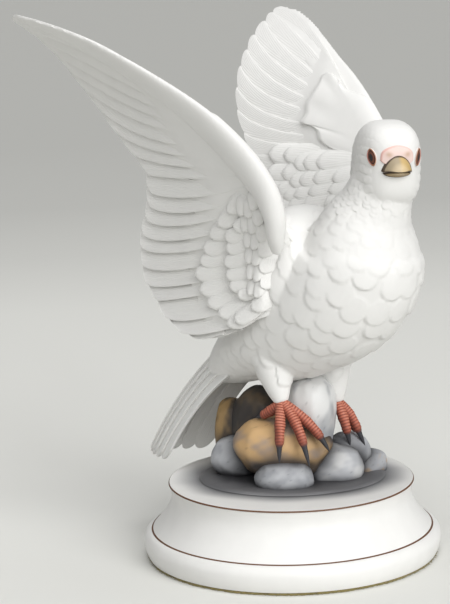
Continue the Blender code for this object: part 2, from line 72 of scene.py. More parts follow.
# Torso from rump to neck: key, y, z, half width, half depth of the section
TORSO = (
    (0, 48, 90.3, 8, 7),
    (1, 36, 98.3, 15.5, 13.5),
    (2, 20, 108.8, 23, 19.5),
    (3, 2, 118.8, 29.5, 27),
    (4, -16, 130.3, 33.5, 31),
    (5, -32, 142.3, 34.5, 33),
    (6, -43, 156.3, 32.5, 32),
    (7, -46, 168.3, 28, 27.5),
    (8, -49, 179.3, 22.5, 22.5),
    (9, -53, 189.3, 17, 17.5),
    (10, -57.5, 201.3, 14, 15),
)
TORSO_LAST = 10

HEAD_CENTRE = (1.1, -57.8, 209.3)
HEAD_TURN = radians(37)
HEAD_NOD = radians(8)
HEAD_RADII = (15.2, 19.0, 20.5)
CHEEK_SWELL = 0.09
FACE_NARROWING = 0.19
BROW_SLOPE = 0.05
NAPE_SLOPE = 0.45
HEAD_BLOCK = 3.0                # 2 is a round head, more is squarer

# Skin of the body and its raised feathers
SKIN_VOXEL = 1.02
SKIN_SMOOTHING = 5
FINE_FROM = 184                 # the skin is finer above this height
FINE_HALF_WIDTH = 25
BODY_SCALE_WIDTHS = (4.6, 12.2)  # on the neck and on the breast
BODY_SCALE_KEYS = (0.5, 9.4)    # the torso's keys between which its feathers lie
MANTLE_SCALE_WIDTH = 8.5
MANTLE_SCALE_SPACING = 6.5
HEAD_SCALE_SPACING = 2.9
HEAD_SCALE_WIDTH = 3.6
HEAD_SCALE_RADIUS = 18.5        # mean radius of the skull, for spacing its feathers
ARM_BARE = 11                   # how far inside the wing's middle surface the body's feathers end
ARM_BARE_FROM = (160, 172)      # heights over which the arm's smooth skin begins
LEG_BARE_UNDER = (87, 95)       # heights over which the legs' smooth skin ends

# Arm in side view: key, y, z, tuck, half thickness across the wing, half width
ARM = (
    (0, -24.5, 165.8, 1, 2.2, 2.6),
    (1, -25.8, 174, 0, 4.6, 4.8),
    (2, -26.5, 185.3, 0, 5.6, 6.2),
    (3, -21.3, 199.3, 0, 5.8, 8.4),
    (4, -9, 214.3, 0, 5.5, 9.8),
    (5, 9, 231, 0, 4.8, 9.4),
    (6, 31, 247.3, 0, 4.2, 7.8),
    (7, 54, 262.4, 0, 3.4, 6.5),
    (8, 74, 272.4, 0, 2.6, 5.0),
    (9, 88, 278.1, 0, 1.5, 2.6),
)
ARM_INNER = 0.42                # how much of the arm's thickness stands out on the inner side
LEFT_TIP_DROP = 0.10            # how much lower the left wing stands, as a share of its height above the next
LEFT_DROP_FROM = 246
MANTLE_MIDDLE = (0, -8, 158)
MANTLE_RADII = (31, 26, 26)
WING_ROOT_MIDDLE = (24.5, -12, 151)
WING_ROOT_RADII = (10.5, 15, 27)
ROOT_TUCK = 1.3                 # slope of the wing's front edge into the body below the arm
ROOT_FRONT = -12                # the slope starts ahead of this place
ROOT_TOP = 180                  # it fades in below this height
ROOT_FADE = 20

# Wing fan in side view: feather boundary, y, z
FEATHERS = 19
PRIMARIES = 9
WING_LEAN = ((98.3, 34.5), (150.3, 36), (190.3, 42), (215.3, 49.5), (240.3, 63.5), (265.3, 87), (281.3, 113))
WING_SWEEP_IN = 0.09
WING_TUCK = 9
FAN_ROOT = (
    (0, 8, 233.5), (5, -4, 222.3), (9, -15, 204.3), (13, -21, 184.3), (16, -21, 160.3), (19, -19, 136.3),
)
FAN_MIDDLE = (
    (0, 50, 264.5), (1, 50, 258), (2, 50, 249.5), (3, 50, 242), (4, 50, 235), (5, 50, 228), (6, 47, 219.5),
    (7, 43, 212.7), (8, 36, 206.2), (9, 31, 200.3), (10, 31, 190.5), (11, 33, 182.2), (12, 36, 175.3),
    (13, 40, 167), (14, 42, 160.5), (15, 42, 151.5), (16, 42, 143), (17, 38, 137.5), (18, 33, 126.5),
    (19, 24, 120.5),
)
FAN_TIP = (
    (0, 89.5, 279), (1, 90.5, 275.5), (2, 89.5, 270.5), (3, 88.5, 262.5), (4, 86.5, 254), (5, 84.5, 244.5),
    (6, 80.5, 233.5), (7, 75, 222), (8, 66.5, 210), (9, 58.5, 200), (10, 59.5, 191), (11, 61, 184),
    (12, 64, 176), (13, 68, 168.5), (14, 70, 161), (15, 70, 151.5), (16, 68, 141.5), (17, 61, 133),
    (18, 56, 126.5), (19, 46, 119.8),
)

# Tail
TAIL_FEATHERS = 10
TAIL_ROOT = (0, 40, 109.3)
TAIL_LENGTH = 84
TAIL_SLOPE = radians(-50.6)
TAIL_BOW = 4
TAIL_ROOT_WIDTH = 27
TAIL_TIP_WIDTH = 37
TAIL_ARCH = 19
TAIL_STAGGER = 0.19
TAIL_LAP = 0.66
TAIL_FEATHER_TILT = 0.85

FEET = (
    {"thigh": (-18, -1, 108.3), "ankle": (-20, -10, 85.3),
     "toes": (((-24.7, -12.3, 72.3), (-27.8, -14.8, 56.3)), ((-19.9, -20, 73.8), (-20.1, -27.9, 55)),
              ((-13.5, -23.3, 74.3), (-9.1, -32.2, 61.3))),
     "hind": ((-21, -2.3, 79.3), (-21, 5.7, 75.3))},
    {"thigh": (16, -14, 104.3), "ankle": (16, -18, 80.3),
     "toes": (((14.5, -24, 71.3), (15.9, -27, 58.3)), ((20, -24.5, 72.3), (25, -30, 56.3)),
              ((26, -19, 69.3), (33, -22, 57.3))),
     "hind": ((17, -10, 74.3), (18, -3, 68.3))},
)
TOE_RADIUS = 2.55
SCUTE_LENGTH = 1.5
THIGH_RADIUS = 9.5

# Stones: x, y, z of the middle above the bed, half sizes, turn in degrees
STONES = (
    (1, -12, 37.4, 13.5, 13, 22, 0),
    (-10, -3, 21.4, 24, 16, 17, -52),
    (-10.5, 24.5, 11.6, 15, 13.5, 12, 10),
    (-17.0, -9.5, 7.4, 14.5, 12.5, 10.5, -52),
    (11.5, -20, 9.4, 15.5, 14, 12, -40),
    (33, -25, 6.4, 11, 10, 8.5, 0),
    (-3, 35, 19.4, 12, 10, 21, 25),
    (0, 20, 25.4, 15, 14, 23, 0),
    (22, -20, 13.4, 13, 11, 12, -20),
    (24, 4, 11.4, 15, 14, 13, 30),
    (20, 26, 8.4, 16, 12, 10, -30),
)
STONE_SQUARENESS = 0.16
STONE_LUMPS = 0.045
SLAB_MIDDLE = (2, 1)
SLAB_HALF_LENGTH = 49
SLAB_HALF_WIDTH = 40
SLAB_TURN = radians(-52)
SLAB_THICKNESS = 1.8
SLAB_BEVEL = 6

# Plinth and pad
PLINTH_TOP_RADIUS = 63.7
PLINTH_WAIST_RADIUS = 62.2
PLINTH_FLARE_RADIUS = 72.8
PLINTH_BULGE_RADIUS = 77.3
PLINTH_FOOT_RADIUS = 75.2
PLINTH_LIP = 7.0
PLINTH_FLARE = 17.7
PLINTH_MOULDING = 13.3
PLINTH_FLOOR = 1.5
PLINTH_HEIGHT = PLINTH_MOULDING + PLINTH_FLARE + PLINTH_LIP
SLAB_FLOOR = PLINTH_FLOOR + PLINTH_HEIGHT + 0.3
PAD_THICKNESS = 1.2
UPPER_LINE = 39.1               # heights of the middles of the painted lines above the table
LOWER_LINE = 14.8
LINE_WIDTH = 0.95
PLINTH_EDGE = 0.8               # rounding of the flat top's edge
PLINTH_TOP_RINGS = 26
FIBRES = 900
FLOOR_HALF = 30.0               # in metres

# Wing feathers. Each long feather's peak lies across it, from -1 to 1, and its sides fall short by the droop.
PRIMARY = {"peak": -0.15, "reach": 2.8, "droop": 7.0, "outer_tilt": 1.35, "inner_tilt": 0.75}
SECONDARY = {"peak": -0.45, "reach": 4.4, "droop": 12.0, "outer_tilt": 1.7, "inner_tilt": 1.0}
FLIGHT_LAP = 0.62               # half a feather's width in boundaries, over 0.5 where neighbours lap
CORE_REACH = 0.44               # share of the fan that the flesh under the coverts takes up
CORE_HALF_THICKNESS = 2.4
COVERT_ROOT_DIP = 2.0           # how deep an outer covert's root lies under the row before it
# Greater coverts of the wing's outer side: y, z of the tip, y, z of the root, half width
GREATER_COVERTS = (
    (-3.5, 186.5, -10, 197, 4.0), (3.5, 184.5, -7, 197, 4.6), (11.5, 177, -2, 189, 4.8),
    (18, 170.5, 3, 181, 5.2), (23.5, 162.5, 6, 172, 5.4), (26.5, 156.5, 7, 164, 5.0),
    (30.5, 149.5, 7, 156.5, 5.4), (27.5, 141.5, 7, 150, 5.6), (22.5, 134.8, 3, 146, 5.2),
    (15.5, 130.3, -3, 142, 5.0), (9.5, 125.8, -9, 139, 4.6),
)
MEDIAN_COVERTS = (
    (1, 176.5, -12, 183, 4.2), (7.5, 170.5, -8, 178, 4.2), (8, 165, -8, 171, 4.0),
    (10, 157.8, -7, 163.5, 4.2), (9.5, 151.5, -7, 155.5, 3.8), (7.5, 146, -8, 149.5, 3.6),
    (2.5, 142, -11, 147, 3.6),
)
# Columns of lesser coverts beside the arm: y, height of the top and of the bottom, half width
LESSER_COLUMNS = ((-5.5, 190, 146, 3.2), (-10, 193, 147, 3.2), (-14.5, 194, 148, 3.2))
# Coverts at the wing's lower end, as the greater ones
LOWER_COVERTS = ((-6.5, 135.5, -17, 147, 4.2), (4, 128.5, -13, 141, 4.0))
LESSER_STEP = 8.25
# Rows of the wing's inner side: first boundary, share of the tip and of the root, width, low and high side
INNER_ROWS = (
    (8.3, 0.76, 0.36, 0.64, 1.2, 2.4), (8.3, 0.60, 0.24, 0.66, 1.6, 3.0), (8.8, 0.51, 0.18, 0.68, 2.0, 3.4),
    (8.8, 0.43, 0.10, 0.72, 2.2, 3.8), (8.8, 0.33, 0.02, 0.75, 2.4, 4.1), (10, 0.20, 0.0, 0.78, 2.6, 4.4),
)

# Smooth plate over the arm and the primaries' roots on the inner side: the edge's key, y, z
PLATE_EDGE = (
    (0, -8, 203), (1, 2, 205), (2, 11, 206.5), (3, 18, 209.5), (4, 21.5, 214.5), (5, 27.5, 217),
    (6, 32.5, 218), (7, 31, 222.5), (8, 33, 228), (9, 31, 232), (10, 29.5, 237.5), (11, 29.5, 241.5),
    (12, 26, 243), (13, 21.5, 242), (14, 17, 239.5),
)
PLATE_ARM = (2.9, 5.35)         # keys of the arm between which the plate springs
PLATE_CREST = 0.25              # how far across the plate the arm's middle lies
PLATE_HEIGHT = 4.0
PLATE_THICKNESS = 2.2

# Bare skin over the beak, with the nostrils in it
FOREHEAD_HALF_WIDTH = 8.6
FOREHEAD_MIDDLE = 5.6
FOREHEAD_BELOW = 2.6
FOREHEAD_ABOVE = 7.4
FOREHEAD_LIFT = 0.42
NOSTRIL_PLACE = (4.6, 8.6)

# Beak and eyes
BEAK_BACK = -12                 # the beak starts inside the skull
BEAK_MIDDLE = -0.5
BEAK_GAPE = 0.1
UPPER_BEAK = {"reach": 12.5, "half_width": 8.0, "rise": 9.8, "fall": 0.7}
LOWER_BEAK = {"reach": 12.0, "half_width": 7.4, "rise": 0.6, "fall": 2.3}
EYE_DIRECTIONS = {-1: (-0.78, -0.63, 0.27), 1: (0.69, -0.72, 0.27)}
EYE_SLANT = radians(-66)        # the front corner lies lower
EYE_HALF_LENGTH = 2.9
EYE_HALF_WIDTH = 2.45
EYE_SKULL_RADIUS = 16.0
EYE_BALL = 0.66                 # share of the eye's size that the ball takes up

# Colours
WHITE = (0.76, 0.755, 0.735)
CORAL = (0.46, 0.125, 0.075)
# The toes' darker coral is painted shade in their grooves and underneath, and the dark of their ends near the
# claws.
CORAL_SHADE_AND_DARK_TIP = (0.12, 0.03, 0.02)
# The toes' lighter coral is a painted highlight on their scutes.
CORAL_PAINTED_HIGHLIGHT = (0.66, 0.32, 0.22)
CLAW = (0.035, 0.035, 0.04)
HORN = (0.36, 0.25, 0.12)
# The bill's gold and grey sides are partly two-tone paint and partly painted light and shade.
HORN_GOLD_AND_LIT_SIDE = (0.52, 0.37, 0.16)
HORN_GREY_SHADED_SIDE = (0.38, 0.31, 0.21)
# The bill's tip colour is a painted highlight.
HORN_TIP_HIGHLIGHT = (0.72, 0.58, 0.38)
# The bill's dark is its painted lines and the painted shade underneath.
HORN_DARK_LINE_AND_SHADE = (0.05, 0.03, 0.02)
NOSTRIL = (0.50, 0.33, 0.22)
PINK = (0.72, 0.38, 0.33)
BLUSH = (0.80, 0.63, 0.58)
RIM_BROWN = (0.32, 0.13, 0.06)
RIM_PINK = (0.52, 0.25, 0.21)
IRIS = (0.13, 0.045, 0.025)
BLACK = (0.02, 0.02, 0.02)
LINE_BROWN = (0.13, 0.06, 0.03)
CHALK = (0.66, 0.66, 0.65)
PALE_GREY = (0.46, 0.47, 0.49)
GREY = (0.30, 0.31, 0.33)
ORANGE_TAN = (0.60, 0.39, 0.19)
GOLD = (0.40, 0.26, 0.11)
LAVENDER = (0.24, 0.22, 0.23)
UMBER = (0.11, 0.08, 0.05)
SOOT = (0.025, 0.025, 0.028)
CHARCOAL = (0.040, 0.040, 0.043)
ASH = (0.12, 0.12, 0.125)
DUST = (0.32, 0.32, 0.325)
OLIVE = (0.19, 0.155, 0.055)
OLIVE_LIGHT = (0.24, 0.20, 0.08)

# Paint of each stone: main colour, the patches' colour, how much of it they cover, and the colour of the
# painted shade in its crevices and underneath
STONE_PAINTS = (
    (CHALK, GREY, 0.30, GREY), (ORANGE_TAN, LAVENDER, 0.42, SOOT), (PALE_GREY, GREY, 0.35, SOOT),
    (PALE_GREY, GREY, 0.50, SOOT), (PALE_GREY, CHALK, 0.45, SOOT), (PALE_GREY, ORANGE_TAN, 0.22, SOOT),
    (GOLD, SOOT, 0.45, SOOT), (UMBER, SOOT, 0.60, SOOT), (PALE_GREY, GREY, 0.4, SOOT),
    (GREY, SOOT, 0.5, SOOT), (GOLD, GREY, 0.5, SOOT),
)
CREVICE_SHADE_REACH = 4.2                   # how far the painted shade in the joints between stones spreads

# Floor tones, a painted pool of light round the object: distance from the object in metres, and how light the
# paper is painted there
FLOOR_LIGHT_POOL = ((0.30, 0.70), (0.72, 0.63), (1.0, 0.53), (1.35, 0.455), (2.0, 0.43))

# Lights: name, direction to the right, ahead and up as seen from the camera, strength, spread in degrees
LIGHTS = (
    ("key", 0.65, -0.75, 0.5, 2.15, 36), ("left", -0.9, -0.4, 0.5, 0.42, 50),
    ("front", 0.05, -0.9, 0.6, 1.05, 40), ("top", 0.0, 0.0, 1.0, 1.4, 50),
)


# Numbers


def along(stations, key):
    """Values at each key, read from a smooth curve through stations, each a key followed by its values."""
    table = np.asarray(stations, float)
    keys, values = table[:, 0], table[:, 1:]
    last = len(keys) - 1
    after = np.minimum(np.arange(last + 1) + 1, last)
    before = np.maximum(np.arange(last + 1) - 1, 0)
    slopes = (values[after] - values[before]) / (keys[after] - keys[before])[:, None]
    key = np.asarray(key, float)
    low = np.clip(np.searchsorted(keys, key, side="right") - 1, 0, last - 1)
    step = (keys[low + 1] - keys[low])[..., None]
    share = (key - keys[low])[..., None] / step
    square, cube = share ** 2, share ** 3
    return (
        values[low] * (2 * cube - 3 * square + 1)
        + values[low + 1] * (3 * square - 2 * cube)
        + slopes[low] * step * (cube - 2 * square + share)
        + slopes[low + 1] * step * (cube - square)
    )


def step_up(value, low, high):
    """0 below low, 1 above high, smooth between."""
    share = np.clip((value - low) / (high - low), 0, 1)
    return share * share * (3 - 2 * share)


def bell(value, middle, width):
    return np.exp(-((value - middle) / width) ** 2)


def unit(vectors):
    return vectors / np.linalg.norm(vectors, axis=-1, keepdims=True)


def round_angles(count):
    return np.linspace(0, 2 * pi, count, endpoint=False)


def spun(points, angle):
    """Points turned about the upright axis."""
    x, y, z = np.moveaxis(points, -1, 0)
    return np.stack([x * cos(angle) - y * sin(angle), x * sin(angle) + y * cos(angle), z], -1)


def hashed(index, seed):
    """Steady scatter from -1 to 1 for whole numbers."""
    return 2 * np.modf(np.abs(np.sin(np.asarray(index) * 12.9898 + seed * 78.233) * 43758.5453))[0] - 1


def waves(points, size, seed):
    """Smooth irregular lumps from about -1 to 1, of the given size."""
    total = np.zeros(points.shape[:-1])
    for turn in range(5):
        direction = (sin(seed + 2.1 * turn), cos(1.7 * seed + 3.3 * turn), sin(0.7 * seed + 5.1 * turn))
        direction = unit(np.array(direction))
        total += np.sin(points @ direction * (2 * pi / size) * (1 + 0.23 * turn) + 1.9 * turn + seed)
    return total / 3


def mixed(first, second, share):
    """Colours between two colours, for an array of shares."""
    share = np.asarray(share)[..., None]
    return np.asarray(first) * (1 - share) + np.asarray(second) * share


# Meshes. A shape is a list of points, a list of faces, one colour for each point and one pattern place.


def shape(points, faces, paint=WHITE, place=None):
    points = np.asarray(points, float).reshape(-1, 3)
    paint = np.asarray(paint, float).reshape(-1, 3)
    paint = np.broadcast_to(paint, points.shape).copy()
    place = np.zeros((len(points), 2)) if place is None else place.reshape(-1, 2)
    return points, faces, paint, place


def flipped(faces):
    return [tuple(reversed(face)) for face in faces]


def joined(shapes):
    points, faces, paints, places = [], [], [], []
    count = 0
    for one_points, one_faces, one_paint, one_place in shapes:
        points.append(one_points)
        paints.append(one_paint)
        places.append(one_place)
        faces += [tuple(corner + count for corner in face) for face in one_faces]
        count += len(one_points)
    return np.concatenate(points), faces, np.concatenate(paints), np.concatenate(places)


def settled(one):
    """Sinks a shape of the bird or the stones into its bed and tips it."""
    points, faces, paint, place = one
    turn = np.array(Matrix.Rotation(LEAN, 3, Vector(LEAN_AXIS)))
    pivot = np.array((0, 0, BED))
    return (points - pivot) @ turn.T + pivot + LEAN_SHIFT, faces, paint, place


def mirrored(one):
    points, faces, paint, place = one
    return points * (-1, 1, 1), flipped(faces), paint, place


def added(name, data):
    """A new object in the scene."""
    made = bpy.data.objects.new(name, data)
    bpy.context.scene.collection.objects.link(made)
    return made


def mesh_object(name, one, materials):
    points, faces, paint, place = one
    mesh = bpy.data.meshes.new(name)
    mesh.from_pydata((points * MM).tolist(), [], faces)
    mesh.validate()
    colours = mesh.color_attributes.new("paint", "FLOAT_COLOR", "POINT")
    colours.data.foreach_set("color", np.concatenate([paint, np.ones((len(paint), 1))], 1).ravel())
    corners = np.zeros(len(mesh.loops), int)
    mesh.loops.foreach_get("vertex_index", corners)
    pattern = mesh.uv_layers.new(name="vane")
    pattern.data.foreach_set("uv", place[corners].ravel())
    for finish in materials:
        mesh.materials.append(finish)
    mesh.shade_smooth()
    mesh.set_sharp_from_angle(angle=radians(48))
    return added(name, mesh)


def ring_faces(rows, columns):
    """Faces of rings one after another, with a flat cap on the first and the last."""
    faces = []
    for row in range(rows - 1):
        for column in range(columns):
            after = (column + 1) % columns
            low, high = row * columns, (row + 1) * columns
            faces.append((low + column, low + after, high + after, high + column))
    faces.append(tuple(reversed(range(columns))))
    faces.append(tuple(range((rows - 1) * columns, rows * columns)))
    return faces


def shell_faces(rows, columns):
    """Faces of a thin closed leaf whose rings run over its upper side and back along its lower side."""
    faces = []
    around = 2 * columns
    for row in range(rows - 1):
        for column in range(around):
            after = (column + 1) % around
            low, high = row * around, (row + 1) * around
            faces.append((low + column, low + after, high + after, high + column))
    for start, turned in ((0, True), ((rows - 1) * around, False)):
        for column in range(columns - 1):
            back = around - 1 - column
            face = (start + column, start + column + 1, start + back - 1, start + back)
            faces.append(tuple(reversed(face)) if turned else face)
    return faces


def rings_shape(rings, paint=WHITE, inside_out=False):
    """A closed body through rings of points, with its faces flipped where the rings run the other way."""
    faces = ring_faces(*np.shape(rings)[:2])
    return shape(rings, flipped(faces) if inside_out else faces, paint)


def leaf_shape(top, back, place):
    """A thin closed leaf from its upper and lower side, grids of rows along it and columns across."""
    points = np.concatenate([top, back[:, ::-1]], 1)
    if place is not None:
        place = np.concatenate([place, place[:, ::-1]], 1)
    return shape(points, shell_faces(*top.shape[:2]), WHITE, place)


def vane_place(across, share, length):
    """Places on a feather for the barbs: across from -0.5 to 0.5, and centimetres along it."""
    return np.stack(np.broadcast_arrays(across * 0.5, share * length / 10), -1)


def sphere_points(sides, rows):
    """Unit directions on rings from the south pole to the north pole."""
    down = np.linspace(0.02, pi - 0.02, rows)[:, None]
    turn = round_angles(sides)[None, :]
    return np.stack([np.sin(down) * np.cos(turn), np.sin(down) * np.sin(turn), -np.cos(down) + 0 * turn], -1)


def tube_rings(places, radii, sides):
    """Rings round a path of points."""
    places = np.asarray(places, float)
    forward = unit(np.gradient(places, axis=0))
    across = unit(np.cross(forward, (0.31, 0.11, 1.0)))
    upright = np.cross(across, forward)
    angle = round_angles(sides)
    radii = np.broadcast_to(np.asarray(radii, float).reshape(len(places), -1), (len(places), sides))
    circle = across[:, None] * np.cos(angle)[None, :, None] + upright[:, None] * np.sin(angle)[None, :, None]
    return places[:, None] + circle * radii[..., None]


# Body


def torso_frame(key):
    """Middle, upright axis and half sizes of the torso's section at each key."""
    key = np.clip(key, 0, TORSO_LAST)
    y, z, wide, deep = np.moveaxis(along(TORSO, key), -1, 0)
    ahead = along(TORSO, np.minimum(key + 0.05, TORSO_LAST))
    behind = along(TORSO, np.maximum(key - 0.05, 0))
    forward = unit(ahead[..., :2] - behind[..., :2])
    return y, z, forward[..., 0], forward[..., 1], wide, deep


def torso_point(key, angle, lift=0.0):
    """Points on the torso's skin. Angle 0 is the middle of the back."""
    y, z, forward_y, forward_z, wide, deep = torso_frame(key)
    up = np.cos(angle) * (deep + lift)
    return np.stack([np.sin(angle) * (wide + lift), y + forward_z * up, z - forward_y * up], -1)


def torso_rings():
    keys = np.linspace(0, TORSO_LAST, 61)[:, None]
    angles = round_angles(56)[None, :]
    return torso_point(keys + 0 * angles, angles + 0 * keys)


def head_place():
    turn = Matrix.Rotation(-HEAD_TURN, 4, "Z") @ Matrix.Rotation(HEAD_NOD, 4, "X")
    return np.array(Matrix.Translation(Vector(HEAD_CENTRE)) @ turn)


def from_head(points):
    """Points given in the head's own frame, facing -Y, moved to the bird's frame."""
    place = head_place()
    return np.asarray(points) @ place[:3, :3].T + place[:3, 3]


def head_form(direction):
    """The skull's skin, in the head's own frame, for unit directions."""
    block = (np.abs(direction) ** HEAD_BLOCK).sum(-1) ** (1 / HEAD_BLOCK)
    x, y, z = np.moveaxis(direction / block[..., None], -1, 0)
    front = np.maximum(-y, 0) ** 2
    cheek = 1 + CHEEK_SWELL * np.maximum(-z, 0)
    nape = 1 - NAPE_SLOPE * np.maximum(z, 0) ** 2 * step_up(y, -0.2, 0.6)
    half_width, half_length, half_height = HEAD_RADII
    return np.stack([
        x * half_width * (1 - FACE_NARROWING * front) * cheek,
        y * half_length * cheek * nape,
        z * half_height * (1 - BROW_SLOPE * front),
    ], -1)


def wing_lean(y, z):
    """How far the wing's middle surface stands from the bird's middle plane."""
    return along(WING_LEAN, np.clip(z, WING_LEAN[0][0], WING_LEAN[-1][0]))[..., 0] - WING_SWEEP_IN * (y - 50)


def arm_rings():
    key = np.linspace(0, 9, 120)
    y, z, tuck, thick, wide = along(ARM, key).T
    forward = np.stack([np.gradient(y), np.gradient(z)])
    forward /= np.linalg.norm(forward, axis=0)
    angle = round_angles(28)[None, :]
    in_plane = wide[:, None] * np.sin(angle)
    place_y = y[:, None] - forward[1][:, None] * in_plane
    place_z = z[:, None] + forward[0][:, None] * in_plane
    flat = 1 - (1 - ARM_INNER) * step_up(key, 2.5, 4.2)[:, None]
    across = thick[:, None] * np.cos(angle) * np.where(np.cos(angle) < 0, flat, 1)
    place_x = wing_lean(place_y, place_z) - tuck[:, None] + across
    return np.stack([place_x, place_y, place_z], -1)


def lowered(one):
    """The left wing's tip stands a little lower than the right one's."""
    points, faces, paint, place = one
    points = points.copy()
    points[:, 2] -= LEFT_TIP_DROP * np.maximum(points[:, 2] - LEFT_DROP_FROM, 0)
    return points, faces, paint, place


def thigh_rings(foot):
    thigh, ankle = np.array(foot["thigh"], float), np.array(foot["ankle"], float)
    share = np.linspace(0, 1, 14)
    radii = np.interp(share, (0, 0.4, 0.8, 1.0), (1, 0.92, 0.6, 0.36)) * THIGH_RADIUS
    return tube_rings(thigh + (ankle - thigh) * share[:, None], radii, 24)


def refined(mesh):
    """Halves the faces of the head and neck, whose feathers are the smallest."""
    fine = bmesh.new()
    fine.from_mesh(mesh)
    chosen = [
        edge for edge in fine.edges
        if min(corner.co.z for corner in edge.verts) > FINE_FROM * MM
        and max(abs(corner.co.x) for corner in edge.verts) < FINE_HALF_WIDTH * MM
    ]
    bmesh.ops.subdivide_edges(fine, edges=chosen, cuts=1, use_grid_fill=True)
    fine.to_mesh(mesh)
    fine.free()


def remeshed(one, voxel):
    """Points, faces and normals of the outer skin round overlapping bodies."""
    base = mesh_object("base_form", one, [])
    skin = base.modifiers.new("skin", "REMESH")
    skin.mode = "VOXEL"
    skin.voxel_size = voxel * MM
    soften = base.modifiers.new("soften", "SMOOTH")
    soften.factor = 0.5
    soften.iterations = SKIN_SMOOTHING
    graph = bpy.context.evaluated_depsgraph_get()
    graph.update()
    mesh = bpy.data.meshes.new_from_object(base.evaluated_get(graph))
    bpy.data.objects.remove(base, do_unlink=True)
    refined(mesh)
    points = np.zeros(len(mesh.vertices) * 3)
    mesh.vertices.foreach_get("co", points)
    normals = np.zeros(len(mesh.vertices) * 3)
    mesh.vertex_normals.foreach_get("vector", normals)
    faces = [tuple(face.vertices) for face in mesh.polygons]
    bpy.data.meshes.remove(mesh)
    return points.reshape(-1, 3) / MM, faces, normals.reshape(-1, 3)


def torso_scales():
    """Body feathers in staggered rows: middle, flow towards the tail, half length, half width and lift."""
    sites = []
    last, key = BODY_SCALE_KEYS
    row = 0
    while key > last:
        *_, wide, deep = torso_frame(np.array(key))
        size = float(step_up(float(wide), 16, 31))
        width = float(np.interp(size, (0, 1), BODY_SCALE_WIDTHS))
        spacing = width * (0.54 + 0.08 * size)
        round_trip = pi * (wide + deep)
        count = int(round_trip / width)
        for column in range(count):
            number = row * 97 + column
            angle = 2 * pi * (column + 0.5 * (row % 2) + 0.22 * hashed(number, 1)) / count
            at_key = key + 0.28 * hashed(number, 2) * spacing / 12
            middle = torso_point(np.array(at_key), np.array(angle))
            back = torso_point(np.array(max(at_key - 0.12, 0)), np.array(angle))
            sites.append((middle, back - middle, spacing * 1.05, width * 0.58, 0.60 + 0.60 * size))
        ahead = along(TORSO, np.array(key - 0.1))
        here = along(TORSO, np.array(key))
        speed = float(np.linalg.norm(ahead[:2] - here[:2])) / 0.1
        key -= spacing / max(speed, 6)
        row += 1
    return sites


def mantle_scales():
    """Feathers over the mantle, in rows from its top down the back."""
    sites = []
    half_x, half_y, half_z = MANTLE_RADII
    for row in range(7):
        down = radians(42) + row * MANTLE_SCALE_SPACING / half_z
        step = MANTLE_SCALE_WIDTH / (half_x * sin(down))
        for column in range(-6, 7):
            around = (column + 0.5 * (row % 2) + 0.15 * hashed(row * 31 + column, 5)) * step
            if abs(around) > radians(110):
                continue
            places = []
            for low in (down, down + 0.05):
                places.append(np.array([
                    half_x * sin(low) * sin(around), half_y * sin(low) * cos(around), half_z * cos(low),
                ]) + MANTLE_MIDDLE)
            middle, back = places
            sites.append((middle, back - middle, MANTLE_SCALE_SPACING * 1.1, MANTLE_SCALE_WIDTH * 0.52, 0.95))
    return sites


def head_scales():
    """Small feathers in rings round the face, finest near the beak."""
    sites = []
    for row in range(13):
        polar = radians(58) + row * HEAD_SCALE_SPACING / HEAD_SCALE_RADIUS
        around = 2 * pi * HEAD_SCALE_RADIUS * sin(polar)
        count = max(int(around / HEAD_SCALE_WIDTH), 6)
        for column in range(count):
            angle = 2 * pi * (column + 0.5 * (row % 2)) / count
            direction = np.array([sin(polar) * sin(angle), -cos(polar), sin(polar) * cos(angle)])
            further = polar + 0.05
            beyond = np.array([sin(further) * sin(angle), -cos(further), sin(further) * cos(angle)])
            middle, back = from_head(head_form(direction)), from_head(head_form(beyond))
            crown = float(step_up(direction[2], 0.15, 0.55))
            sites.append((middle, back - middle, HEAD_SCALE_SPACING * 1.02, 2.1, 0.60 - 0.42 * crown))
    return sites


def relief(points, normals, sites):
    """Height of the topmost feather over each point."""
    middles = np.array([site[0] for site in sites])
    flows = np.array([site[1] for site in sites])
    sizes = np.array([site[2:] for site in sites], float)
    tree = kdtree.KDTree(len(sites))
    for index, middle in enumerate(middles):
        tree.insert(Vector(middle), index)
    tree.balance()
    near = 9
    found = np.array([[hit[1] for hit in tree.find_n(point, near)] for point in points.tolist()])
    offset = points[:, None] - middles[found]
    normal = normals[:, None]
    flow = flows[found]
    flow = flow - normal * np.sum(flow * normal, -1)[..., None]
    flow /= np.linalg.norm(flow, axis=-1)[..., None] + 1e-9
    side = np.cross(flow, np.broadcast_to(normal, flow.shape))
    along_flow = np.sum(offset * flow, -1) / sizes[found][..., 0]
    across = np.sum(offset * side, -1) / sizes[found][..., 1]
    deep = np.abs(np.sum(offset * normal, -1))
    reach = (np.abs(along_flow) ** 2.3 + np.abs(across) ** 2.3) ** (1 / 2.3)
    body = 0.25 + 0.75 * np.clip((along_flow + 1) / 2, 0, 1) - 0.18 * across ** 2
    height = sizes[found][..., 2] * body * (1 - step_up(reach, 0.87, 1.0)) * (deep < 3.5)
    return height.max(1)


